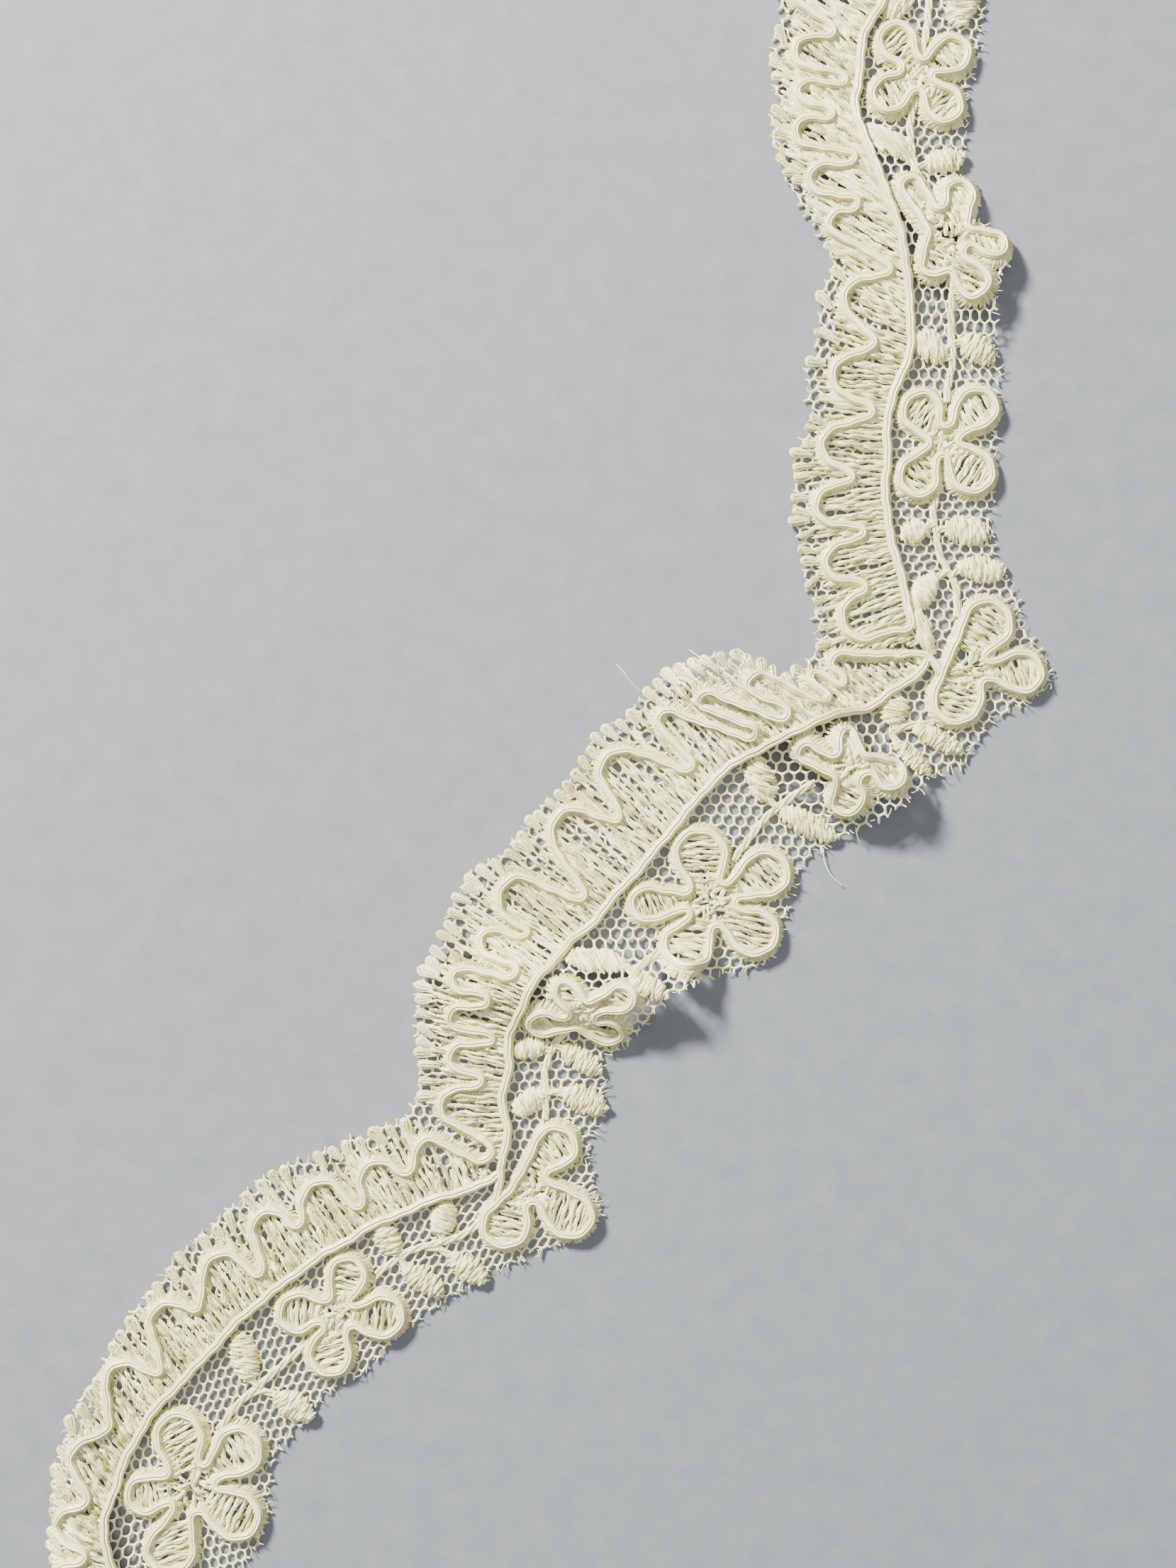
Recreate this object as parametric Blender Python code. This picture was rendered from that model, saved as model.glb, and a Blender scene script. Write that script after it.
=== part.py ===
"""Corded lace edging, lying face up in a loose S with two soft folds across it.

The lace is one thin sheet: net, a thread-filled band along its scalloped side, petals and
leaves are all worked in it. Cords are sewn on its face: a spine down the inner side of the
band, a winding line round the lobes of the band, and a closed loop round each flower.
Blender units are metres, +Z is up. The tables hold millimetres on the table's surface, X to
the right and Y up, and the whole is moved to its own centre at the end.
"""

import math

import bpy
from mathutils import Vector, geometry

MM = 0.001

# The sheet
SHEET_THICK = 1.0
LEAF_LIFT = 0.3
PETAL_LIFT = 0.12
GRID = 3.6
FOLD_GRID = 1.7
FOLD_GRID_FROM = 0.01
GRID_GAP = 0.62
POINT_GAP = 0.55
LOOP_PITCH = 1.7
LOOP_DEPTH = 0.55
LOOP_UNEVEN = 0.2
CUT_PITCH = 1.35
CUT_DEPTH = 0.35

# The cords
CORD_WIDTH = 1.15
CORD_TOP_WIDTH = 0.62
CORD_HEIGHT = 1.0
CORD_GAP = 0.55
TURN_RADIUS = 0.75
HEAD_STEP = math.radians(42)
TURN_STEP = math.radians(55)
SAG_LIMIT = 0.08

IVORY_THREAD = (0.84, 0.82, 0.67)
IVORY_CORD = (0.90, 0.88, 0.74)

# A fold is a soft ridge: its line from x0, y0 to x1, y1, its height at each end, and how far
# it spreads to the left and to the right of that line.
FOLD_COLUMNS = ("x0", "y0", "x1", "y1", "h0", "h1", "left", "right")
FOLDS = (
    (15.0, 15.0, 40.0, -5.0, 5.2, 4.4, 6.8, 9.0),
    (-17.0, -23.4, 11.0, -24.6, 1.4, 5.2, 7.0, 7.0),
    (23.0, 80.0, 50.0, 57.0, 0.6, 2.6, 8.5, 8.5),
    (-61.5, -72.0, -58.5, -94.0, 1.6, 2.0, 6.5, 7.5),
)
FOLD_FADE = 5.0

# Stations down the strip: a point of the looped outer edge and the one across on the cut edge
STATION_COLUMNS = ("outer_x", "outer_y", "inner_x", "inner_y")
STATIONS = (
    (23.2, 97.7, 46.2, 97.7), (22.6, 91.5, 46.5, 90.2), (21.7, 85.7, 45.9, 84.5),
    (21.7, 82.2, 44.5, 81.8), (21.5, 78.0, 44.9, 78.3), (22.6, 73.0, 44.2, 73.7),
    (25.0, 68.8, 43.4, 70.3), (26.6, 65.6, 45.6, 66.7), (28.7, 61.7, 49.2, 63.0),
    (27.5, 58.0, 48.0, 58.5), (27.0, 53.0, 47.7, 54.5), (25.7, 48.5, 48.5, 49.2),
    (26.2, 43.4, 48.4, 43.8), (24.4, 38.8, 48.2, 38.8), (24.4, 33.8, 47.8, 33.8),
    (25.0, 28.0, 47.9, 28.0), (26.4, 22.2, 50.4, 23.2), (27.0, 18.8, 51.2, 19.0),
    (27.0, 15.9, 54.2, 14.2), (24.9, 14.0, 54.5, 11.0), (23.0, 12.6, 50.0, 8.6),
    (20.0, 14.3, 46.5, 6.2), (16.2, 15.0, 43.9, 2.3), (12.0, 14.3, 39.7, 0.2),
    (7.7, 12.0, 36.0, -3.0), (4.5, 8.0, 30.9, -5.8), (0.7, 5.5, 26.5, -8.2),
    (-2.5, 0.0, 24.7, -10.4), (-6.5, -3.7, 24.0, -13.4), (-10.3, -8.5, 23.0, -17.2),
    (-14.1, -10.8, 21.0, -21.2), (-16.3, -15.3, 15.9, -22.3), (-18.4, -19.8, 11.4, -23.7),
    (-20.1, -23.5, 8.4, -26.0), (-20.1, -27.7, 5.4, -29.9), (-20.0, -31.7, 1.9, -32.8),
    (-20.0, -36.2, 1.9, -37.8), (-22.0, -39.5, 0.3, -43.0), (-27.0, -41.5, 0.8, -47.5),
    (-33.3, -44.2, 1.2, -52.4), (-38.6, -46.5, -5.8, -55.2), (-42.6, -50.7, -11.5, -57.8),
    (-46.8, -54.2, -16.5, -60.7), (-50.5, -58.3, -21.5, -64.5), (-53.8, -62.5, -26.6, -69.4),
    (-56.1, -66.5, -30.8, -71.9), (-58.6, -70.8, -33.5, -75.5), (-61.0, -75.2, -37.0, -79.3),
    (-62.6, -80.5, -37.5, -83.8), (-63.0, -86.2, -37.8, -87.8), (-63.1, -91.2, -40.8, -92.6),
    (-62.1, -98.3, -42.3, -98.3),
)

# The spine: hand-placed routes of its three cords
SPINES = {
    "a": (
        (36.5, 97.2), (35.7, 94.7), (34.7, 92.2), (33.4, 90.0), (32.4, 87.8), (32.0, 84.7),
        (31.8, 82.0), (31.3, 80.0), (31.6, 77.8), (32.5, 75.7), (33.3, 73.5), (34.2, 71.0),
        (35.2, 68.8), (36.1, 66.3), (37.0, 63.7), (37.5, 60.8), (37.8, 58.0), (38.0, 54.7),
        (37.9, 51.3), (37.3, 48.8), (36.1, 46.5), (35.4, 43.8), (35.2, 40.9), (35.2, 38.0),
        (35.0, 34.7), (35.3, 30.9), (36.0, 27.6), (36.9, 24.2), (37.6, 21.3), (38.2, 18.2),
    ),
    "b": (
        (39.5, 13.7), (38.2, 12.5), (36.0, 11.1), (34.0, 9.6), (31.9, 8.5), (29.2, 7.9),
        (26.4, 7.2), (23.5, 6.0), (20.9, 4.7), (18.2, 3.2), (15.2, 0.8), (12.1, -2.7),
        (9.2, -6.2), (6.5, -9.5), (4.2, -12.0), (2.2, -14.3), (0.4, -16.5), (-2.0, -18.7),
        (-4.0, -21.0), (-6.0, -23.0), (-7.1, -24.7), (-8.1, -26.7), (-9.0, -28.8),
        (-9.4, -31.2), (-9.3, -33.7), (-9.9, -36.0), (-10.1, -38.0), (-9.5, -40.3),
        (-9.5, -42.2), (-10.2, -44.0),
    ),
    "c": (
        (-11.8, -46.7), (-14.5, -47.8), (-17.5, -48.6), (-20.1, -49.7), (-22.8, -50.8),
        (-25.8, -52.1), (-28.3, -53.7), (-31.2, -55.3), (-33.7, -57.1), (-36.1, -58.9),
        (-38.7, -61.0), (-41.2, -63.2), (-43.6, -65.8), (-46.0, -68.4), (-48.5, -71.0),
        (-50.6, -73.2), (-52.1, -75.2), (-53.5, -77.8), (-54.9, -80.3), (-55.7, -82.7),
        (-56.5, -85.0), (-56.9, -87.0), (-56.7, -89.5), (-56.0, -91.6), (-55.3, -94.5),
        (-54.8, -97.6),
    ),
}

# The winding line: it starts at a point, goes round the head of each lobe (centre and
# radius) and back in a tight turn about the valley point after it, and ends at a point.
LOBE_COLUMNS = ("head_x", "head_y", "head_r", "valley_x", "valley_y")
SCALLOPS = {
    "a": {
        "start": (30.5, 97.0),
        "lobes": (
            (26.0, 93.3, 1.8, 28.2, 88.6), (26.0, 86.0, 1.8, 29.5, 82.8),
            (25.8, 81.2, 1.3, 28.0, 78.6), (26.1, 76.5, 1.7, 30.6, 73.3),
            (27.8, 71.1, 1.7, 31.2, 68.2), (29.9, 66.0, 1.5, 35.0, 60.7),
            (32.7, 56.8, 2.6, 33.1, 52.0), (31.3, 47.9, 2.5, 32.9, 43.9),
            (29.9, 39.7, 2.4, 30.5, 36.2), (29.1, 32.8, 2.3, 31.8, 29.6),
            (30.1, 26.2, 2.2, 31.9, 23.1),
        ),
        "last_head": (32.4, 19.7, 2.6),
        "end": (36.2, 18.2),
    },
    "b": {
        "start": (37.2, 15.1),
        "lobes": (
            (29.7, 14.3, 1.1, 29.5, 12.2), (26.5, 12.0, 0.9, 27.1, 9.7),
            (19.3, 11.7, 1.0, 22.4, 8.3), (14.2, 10.1, 1.0, 19.2, 6.4),
            (9.7, 7.3, 1.5, 11.7, 2.3), (4.2, 1.3, 2.8, 3.2, -3.7),
            (-1.5, -5.8, 2.9, -1.1, -13.0), (-7.9, -13.6, 2.7, -7.8, -17.5),
            (-11.1, -18.9, 1.7, -8.9, -22.0), (-14.8, -22.9, 1.2, -12.3, -25.0),
            (-14.9, -27.3, 1.4, -11.8, -29.7), (-14.7, -32.2, 1.6, -13.1, -34.9),
        ),
        "last_head": (-15.4, -37.8, 2.0),
        "end": (-11.9, -42.1),
    },
    "c": {
        "start": (-12.8, -44.5),
        "lobes": (
            (-18.5, -43.5, 1.8, -21.5, -45.2), (-24.7, -46.5, 2.2, -27.0, -49.1),
            (-31.2, -49.2, 2.5, -34.2, -51.4), (-37.2, -52.5, 2.3, -38.8, -57.1),
            (-42.7, -57.8, 2.6, -46.2, -61.2), (-49.0, -63.4, 2.5, -50.8, -68.7),
            (-54.3, -70.6, 2.6, -57.0, -75.4), (-58.3, -78.8, 2.2, -59.3, -83.7),
            (-60.1, -86.8, 2.0, -59.3, -90.1),
        ),
        "last_head": (-60.3, -93.0, 1.9),
        "end": (-57.5, -96.7),
    },
}

# A flower: each petal's centre and radius, then the turn between it and the next petal.
# low is the y about which a flower on a slope looks flatter, and flat is by how much.
PETAL_COLUMNS = ("petal_x", "petal_y", "petal_r", "turn_x", "turn_y")
FLOWERS = (
    {
        "name": "flower_cord_1",
        "petals": (
            (36.3, 87.3, 2.1, 39.3, 85.8), (42.7, 85.8, 2.1, 41.1, 83.1),
            (41.8, 80.0, 2.1, 38.7, 81.1), (35.5, 81.2, 2.1, 36.4, 84.2),
        ),
    },
    {
        "name": "flower_cord_2",
        "petals": (
            (37.8, 69.8, 1.2, 41.0, 67.7), (43.4, 69.0, 1.7, 44.9, 65.3),
            (47.4, 62.9, 1.4, 44.5, 62.1), (45.2, 58.6, 1.6, 42.2, 59.5),
            (40.5, 61.0, 1.3, 39.2, 64.3),
        ),
    },
    {
        "name": "flower_cord_3",
        "petals": (
            (39.2, 43.9, 2.2, 42.1, 42.7), (45.7, 44.2, 2.3, 44.2, 40.5),
            (45.1, 36.8, 2.5, 41.7, 37.9), (38.8, 36.1, 2.2, 39.4, 40.1),
        ),
    },
    {
        "name": "flower_cord_4",
        "petals": (
            (47.0, 18.9, 2.7, 47.4, 15.0), (51.1, 13.2, 2.3, 46.9, 11.7),
            (43.4, 10.0, 2.8, 41.3, 13.8),
        ),
    },
    {
        "name": "flower_cord_5",
        "petals": (
            (25.4, 4.1, 0.9, 28.4, 4.0), (29.7, 5.3, 0.9, 32.0, 3.7),
            (34.9, 0.9, 1.5, 32.1, 0.6), (30.4, -1.5, 1.7, 28.4, 0.5),
        ),
    },
    {
        "name": "flower_cord_6",
        "petals": (
            (13.2, -8.3, 2.9, 16.2, -11.0), (20.9, -10.5, 2.6, 17.9, -14.0),
            (19.6, -17.5, 2.6, 15.3, -17.3), (11.5, -19.1, 2.6, 11.3, -15.3),
            (7.1, -14.1, 2.0, 11.5, -12.2),
        ),
    },
    {
        "name": "flower_cord_7",
        "low": -26.5,
        "flat": 0.82,
        "petals": (
            (-2.6, -23.5, 1.3, 0.2, -24.1), (3.9, -24.3, 1.5, 1.4, -26.9),
            (2.4, -29.3, 1.7, -1.4, -29.2), (-5.2, -28.0, 1.7, -2.6, -26.4),
        ),
    },
    {
        "name": "flower_cord_8",
        "petals": (
            (-3.7, -42.6, 2.3, -4.3, -46.2), (-2.1, -50.7, 2.6, -6.5, -49.8),
            (-9.7, -51.8, 2.6, -9.5, -47.2),
        ),
    },
    {
        "name": "flower_cord_9",
        "petals": (
            (-28.3, -57.8, 2.1, -27.4, -60.8), (-24.2, -62.6, 2.4, -27.7, -64.4),
            (-30.4, -67.0, 2.4, -31.7, -63.9), (-34.1, -62.1, 2.2, -31.0, -60.2),
        ),
    },
    {
        "name": "flower_cord_10",
        "petals": (
            (-48.1, -76.8, 2.7, -45.3, -79.4), (-41.1, -78.4, 2.6, -43.2, -82.3),
            (-41.4, -86.0, 2.7, -45.8, -86.1), (-49.1, -90.0, 2.7, -49.4, -85.1),
            (-52.1, -83.6, 2.1, -49.8, -80.7),
        ),
    },
)

# Padded leaves: the end at the stem, the tip, and the width
LEAF_COLUMNS = ("base_x", "base_y", "tip_x", "tip_y", "width")
LEAVES = (
    (35.7, 95.0, 36.5, 90.6, 2.2), (44.9, 95.2, 43.5, 90.0, 2.0),
    (37.0, 74.0, 33.6, 77.0, 1.8), (39.9, 72.7, 43.6, 74.4, 1.8),
    (42.0, 50.0, 38.9, 53.0, 1.7), (44.5, 48.8, 47.2, 51.4, 1.7),
    (39.9, 28.5, 36.9, 30.7, 1.5), (42.4, 28.0, 46.4, 30.4, 1.7),
    (38.3, 20.9, 40.9, 24.5, 1.5), (44.2, 23.5, 48.4, 25.2, 1.7),
    (34.9, 7.4, 37.5, 10.0, 1.7), (39.9, 2.0, 42.6, 4.6, 1.8),
    (39.4, 1.5, 36.6, 3.3, 1.5), (21.7, -1.2, 19.9, 2.4, 1.8),
    (25.5, -4.3, 28.2, -6.2, 1.8), (4.2, -21.0, -2.0, -20.2, 1.3),
    (5.8, -24.8, 8.4, -22.9, 1.4), (-6.5, -32.2, -8.2, -30.6, 1.3),
    (-2.5, -34.3, 0.9, -32.2, 1.7), (-5.8, -38.8, -8.4, -36.4, 1.5),
    (-2.1, -38.7, 1.0, -36.6, 1.5), (-15.1, -52.0, -17.6, -49.9, 1.7),
    (-22.3, -55.5, -24.6, -52.6, 1.7), (-15.8, -55.8, -12.6, -58.0, 1.7),
    (-20.1, -57.5, -17.4, -60.1, 1.7), (-39.1, -69.0, -41.4, -65.8, 1.8),
    (-36.3, -71.7, -33.2, -74.2, 1.8),
)


def rows(columns, table):
    """The rows of a table as dictionaries, by column name."""
    return [dict(zip(columns, row)) for row in table]


def smooth_through(points, parts):
    """Points of a smooth curve through the given ones, each stretch in so many parts."""
    out = []
    last = len(points) - 1
    for i in range(last):
        before = Vector(points[max(i - 1, 0)])
        here = Vector(points[i])
        there = Vector(points[i + 1])
        after = Vector(points[min(i + 2, last)])
        for k in range(parts):
            t = k / parts
            line = here * 2 + (there - before) * t
            bend = (before * 2 - here * 5 + there * 4 - after) * t ** 2
            twist = (here * 3 - before - there * 3 + after) * t ** 3
            out.append((line + bend + twist) / 2)
    out.append(Vector(points[last]))
    return out


def even_steps(points, step):
    """Points about one step apart along a line, with the unit direction at each."""
    lengths = [(q - p).length for p, q in zip(points, points[1:])]
    count = max(1, round(sum(lengths) / step))
    spacing = sum(lengths) / count
    out = []
    i = 0
    gone = 0.0
    for k in range(count + 1):
        while i < len(lengths) - 1 and gone + lengths[i] < k * spacing:
            gone += lengths[i]
            i += 1
        direction = (points[i + 1] - points[i]).normalized()
        out.append((points[i] + direction * (k * spacing - gone), direction))
    return out


def fold_height(x, y):
    """How high the sheet's underside stands above the table."""
    height = 0.0
    for fold in rows(FOLD_COLUMNS, FOLDS):
        start = Vector((fold["x0"], fold["y0"]))
        line = Vector((fold["x1"], fold["y1"])) - start
        length = line.length
        line.normalize()
        away = Vector((x, y)) - start
        along = away.dot(line)
        across = line.x * away.y - line.y * away.x
        reach = fold["left"] if across > 0 else fold["right"]
        past = max(-along, along - length, 0.0)
        if abs(across) >= reach or past >= FOLD_FADE:
            continue
        part = min(max(along / length, 0.0), 1.0)
        crest = fold["h0"] + (fold["h1"] - fold["h0"]) * part
        shape = (1 + math.cos(math.pi * across / reach)) / 2
        fade = (1 + math.cos(math.pi * past / FOLD_FADE)) / 2
        height += crest * shape * fade
    return height


def on_sheet(x, y):
    """A point of the sheet's middle surface and the surface's upward normal there."""
    step = 0.2
    middle = Vector((x, y, fold_height(x, y) + SHEET_THICK / 2))
    slope_x = (fold_height(x + step, y) - fold_height(x - step, y)) / (2 * step)
    slope_y = (fold_height(x, y + step) - fold_height(x, y - step)) / (2 * step)
    return middle, Vector((-slope_x, -slope_y, 1)).normalized()


def looped_edge():
    """The scalloped side: small loops, each a bump between two nicks."""
    stations = rows(STATION_COLUMNS, STATIONS)
    line = smooth_through([(row["outer_x"], row["outer_y"]) for row in stations], 6)
    out = []
    for k, (point, direction) in enumerate(even_steps(line, LOOP_PITCH / 3)):
        inward = Vector((-direction.y, direction.x))
        loop = k // 3
        if k % 3 == 0:
            point = point + inward * LOOP_DEPTH
        else:
            point = point + inward * LOOP_UNEVEN * (1 + math.sin(loop * 2.4))
        out.append(point)
    return out


def cut_edge():
    """The other side: net cut through its holes, so the line is ragged."""
    stations = rows(STATION_COLUMNS, STATIONS)
    line = smooth_through([(row["inner_x"], row["inner_y"]) for row in stations], 6)
    out = []
    for k, (point, direction) in enumerate(even_steps(line, CUT_PITCH)):
        outward = Vector((-direction.y, direction.x))
        ragged = 0.6 * math.cos(math.pi * k) + 0.4 * math.sin(k * 1.9)
        out.append(point + outward * CUT_DEPTH * ragged)
    return out


def inside(point, outline):
    """Whether a point lies inside a closed outline."""
    found = False
    for p, q in zip(outline, outline[1:] + outline[:1]):
        if (p.y > point.y) != (q.y > point.y):
            x = p.x + (point.y - p.y) * (q.x - p.x) / (q.y - p.y)
            if point.x < x:
                found = not found
    return found


def middle_of(points, face):
    """The middle of a face's corners in the plan."""
    return sum((points[i] for i in face), Vector((0, 0))) / len(face)


def pad_points():
    """Plan points of the padded leaves and petals, each with the height it adds."""
    out = []
    for leaf in rows(LEAF_COLUMNS, LEAVES):
        base = Vector((leaf["base_x"], leaf["base_y"]))
        tip = Vector((leaf["tip_x"], leaf["tip_y"]))
        middle = (base + tip) / 2
        along = (tip - base).normalized()
        side = Vector((-along.y, along.x)) * leaf["width"] / 2
        out.append((middle, LEAF_LIFT))
        out.extend((point, 0.0) for point in (base, tip, middle + side, middle - side))
    for flower in FLOWERS:
        for petal in rows(PETAL_COLUMNS, flower["petals"]):
            place = flattened(flower, (petal["petal_x"], petal["petal_y"]))
            out.append((Vector(place), PETAL_LIFT))
    return out


def plan_points(outline):
    """Points inside the outline: the pads first, then a grid that is finer on the folds."""
    points = []
    lifts = []
    cells = {}

    def near(point, gap):
        column = int(point.x // GRID)
        row = int(point.y // GRID)
        for i in (column - 1, column, column + 1):
            for j in (row - 1, row, row + 1):
                if any((point - other).length < gap for other in cells.get((i, j), ())):
                    return True
        return False

    def keep(point):
        cells.setdefault((int(point.x // GRID), int(point.y // GRID)), []).append(point)

    for point in outline:
        keep(point)
    for point, lift in pad_points():
        if inside(point, outline) and not near(point, POINT_GAP):
            keep(point)
            points.append(point)
            lifts.append(lift)
    low_x = min(p.x for p in outline)
    high_x = max(p.x for p in outline)
    low_y = min(p.y for p in outline)
    high_y = max(p.y for p in outline)
    for spacing, on_fold in ((FOLD_GRID, True), (GRID, False)):
        line = 0
        y = low_y + spacing / 2
        while y < high_y:
            x = low_x + spacing / 2 * (line % 2)
            while x < high_x:
                point = Vector((x, y))
                folded = fold_height(x, y) > FOLD_GRID_FROM
                wanted = folded == on_fold and not near(point, spacing * GRID_GAP)
                if wanted and inside(point, outline):
                    keep(point)
                    points.append(point)
                    lifts.append(0.0)
                x += spacing
            y += spacing * math.sqrt(3) / 2
            line += 1
    return points, lifts


def flattened(flower, point):
    """A flower's point where it shows when the flower lies on a slope."""
    if "flat" not in flower:
        return point
    return (point[0], flower["low"] + (point[1] - flower["low"]) * flower["flat"])


def sheet_mesh():
    """The lace sheet: its outline filled with triangles, above and below, and a rim."""
    outline = list(reversed(looped_edge())) + cut_edge()
    turned = sum(p.x * q.y - q.x * p.y for p, q in zip(outline, outline[1:] + outline[:1]))
    if turned < 0:
        outline.reverse()
    inner, lifts = plan_points(outline)
    count = len(outline)
    rim = list(range(count))
    filled = geometry.delaunay_2d_cdt(outline + inner, [], [rim], 1, 1e-6, True)
    plan = filled[0]
    triangles = [face for face in filled[2] if inside(middle_of(plan, face), outline)]
    upper = []
    lower = []
    for point, sources in zip(plan, filled[3]):
        lift = max((lifts[i - count] for i in sources if i >= count), default=0.0)
        middle, normal = on_sheet(point.x, point.y)
        upper.append((middle + normal * (SHEET_THICK / 2 + lift)) * MM)
        lower.append((middle - normal * (SHEET_THICK / 2)) * MM)
    size = len(plan)
    faces = [tuple(face) for face in triangles]
    faces += [tuple(i + size for i in reversed(face)) for face in triangles]
    place = {source: i for i, sources in enumerate(filled[3]) for source in sources}
    for k in range(count):
        a = place[k]
        b = place[(k + 1) % count]
        faces.append((a + size, b + size, b, a))
    return upper + lower, faces


def run_between(first, second):
    """The straight run that leaves one peg and meets the next, the cord turning by each sign."""
    dx = second[0] - first[0]
    dy = second[1] - first[1]
    part = (first[3] * first[2] - second[3] * second[2]) / math.hypot(dx, dy)
    angle = math.atan2(dy, dx) - math.asin(max(-1.0, min(1.0, part)))
    normal = Vector((-math.sin(angle), math.cos(angle)))
    leave = Vector(first[:2]) + normal * first[3] * first[2]
    meet = Vector(second[:2]) + normal * second[3] * second[2]
    return leave, meet


def round_peg(peg, start, end, step):
    """Points of the cord's arc round a peg, from where it arrives to where it leaves."""
    centre = Vector(peg[:2])
    first = math.atan2(start.y - centre.y, start.x - centre.x)
    last = math.atan2(end.y - centre.y, end.x - centre.x)
    turn = (first - last) * peg[3] % (2 * math.pi)
    parts = max(1, math.ceil(turn / step))
    points = []
    for k in range(parts + 1):
        angle = first - peg[3] * turn * k / parts
        points.append(centre + Vector((math.cos(angle), math.sin(angle))) * peg[2])
    return points


def laced(pegs, closed):
    """The line of a cord pulled round pegs. A peg is x, y, radius and 1 for clockwise or -1."""
    count = len(pegs)
    last = count if closed else count - 1
    runs = [run_between(pegs[i], pegs[(i + 1) % count]) for i in range(last)]
    points = []
    for i, peg in enumerate(pegs):
        if not closed and i in (0, count - 1):
            points.append(Vector(peg[:2]))
            continue
        step = TURN_STEP if peg[2] == TURN_RADIUS else HEAD_STEP
        points.extend(round_peg(peg, runs[i - 1][1], runs[i][0], step))
    return points


def draped(points, closed):
    """Adds points where a straight stretch would leave the sheet's curve."""
    out = []
    pairs = list(zip(points, points[1:] + points[:1]))
    if not closed:
        pairs.pop()
    for p, q in pairs:
        out.append(p)
        parts = 1
        while parts < 8:
            worst = 0.0
            for k in range(parts):
                a = p.lerp(q, k / parts)
                b = p.lerp(q, (k + 1) / parts)
                m = (a + b) / 2
                straight = (fold_height(a.x, a.y) + fold_height(b.x, b.y)) / 2
                worst = max(worst, abs(fold_height(m.x, m.y) - straight))
            if worst < SAG_LIMIT:
                break
            parts += 1
        out.extend(p.lerp(q, k / parts) for k in range(1, parts))
    if not closed:
        out.append(points[-1])
    return out


def cord_mesh(points, closed):
    """A cord on the sheet's face: flat below, rounded off above, its ends cut square."""
    placed = [on_sheet(p.x, p.y) for p in draped(points, closed)]
    count = len(placed)
    verts = []
    for i, (middle, normal) in enumerate(placed):
        before = placed[i - 1][0] if closed or i else middle
        after = placed[(i + 1) % count][0] if closed or i < count - 1 else middle
        along = (after - before).normalized()
        side = along.cross(normal).normalized()
        up = side.cross(along)
        foot = middle + normal * (SHEET_THICK / 2 + CORD_GAP)
        crown = foot + up * CORD_HEIGHT
        verts.append((foot - side * CORD_WIDTH / 2) * MM)
        verts.append((foot + side * CORD_WIDTH / 2) * MM)
        verts.append((crown + side * CORD_TOP_WIDTH / 2) * MM)
        verts.append((crown - side * CORD_TOP_WIDTH / 2) * MM)
    faces = []
    for i in range(count if closed else count - 1):
        a = i * 4
        b = (i + 1) % count * 4
        for k in range(4):
            n = (k + 1) % 4
            faces.append((a + k, b + k, b + n, a + n))
    if not closed:
        end = (count - 1) * 4
        faces.append((0, 1, 2, 3))
        faces.append((end + 3, end + 2, end + 1, end))
    return verts, faces


def scallop_pegs(scallop):
    """The pegs of a stretch of the winding line, from its start to its end."""
    pegs = [(*scallop["start"], 0.0, -1)]
    for lobe in rows(LOBE_COLUMNS, scallop["lobes"]):
        pegs.append((lobe["head_x"], lobe["head_y"], lobe["head_r"], -1))
        pegs.append((lobe["valley_x"], lobe["valley_y"], TURN_RADIUS, 1))
    pegs.append((*scallop["last_head"], -1))
    pegs.append((*scallop["end"], 0.0, -1))
    return pegs


def flower_pegs(flower):
    """The pegs of a flower: its petals and the turns between them."""
    pegs = []
    for petal in rows(PETAL_COLUMNS, flower["petals"]):
        pegs.append((petal["petal_x"], petal["petal_y"], petal["petal_r"], 1))
        pegs.append((petal["turn_x"], petal["turn_y"], TURN_RADIUS, -1))
    return pegs


def material(name, colour, roughness):
    """A plain matt finish in one colour."""
    made = bpy.data.materials.new(name)
    made.use_nodes = True
    shader = made.node_tree.nodes["Principled BSDF"]
    shader.inputs["Base Color"].default_value = (*colour, 1)
    shader.inputs["Roughness"].default_value = roughness
    made.diffuse_color = (*colour, 1)
    return made


def add_piece(name, shape, finish, parent):
    """One solid of the part, hung on the empty that carries the whole."""
    mesh = bpy.data.meshes.new(name)
    mesh.from_pydata(shape[0], [], shape[1])
    mesh.materials.append(finish)
    mesh.validate()
    piece = bpy.data.objects.new(name, mesh)
    piece.parent = parent
    bpy.context.scene.collection.objects.link(piece)
    return piece


def clear_scene():
    """Removes everything that the new file came with."""
    for old in list(bpy.data.objects):
        bpy.data.objects.remove(old, do_unlink=True)


def build():
    """Makes the sheet and its cords, and moves the whole to its centre."""
    clear_scene()
    whole = bpy.data.objects.new("lace_edging", None)
    bpy.context.scene.collection.objects.link(whole)
    thread = material("lace_thread", IVORY_THREAD, 0.75)
    cord = material("cord_thread", IVORY_CORD, 0.5)
    sheet = sheet_mesh()
    add_piece("lace_ground", sheet, thread, whole)
    for key, route in SPINES.items():
        line = [Vector(point) for point in route]
        add_piece(f"spine_cord_{key}", cord_mesh(line, False), cord, whole)
    for key, scallop in SCALLOPS.items():
        line = laced(scallop_pegs(scallop), False)
        add_piece(f"scallop_cord_{key}", cord_mesh(line, False), cord, whole)
    for flower in FLOWERS:
        line = [Vector(flattened(flower, p)) for p in laced(flower_pegs(flower), True)]
        add_piece(flower["name"], cord_mesh(line, True), cord, whole)
    middle_x = (min(p.x for p in sheet[0]) + max(p.x for p in sheet[0])) / 2
    middle_y = (min(p.y for p in sheet[0]) + max(p.y for p in sheet[0])) / 2
    whole.location = (-middle_x, -middle_y, 0)


build()
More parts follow.
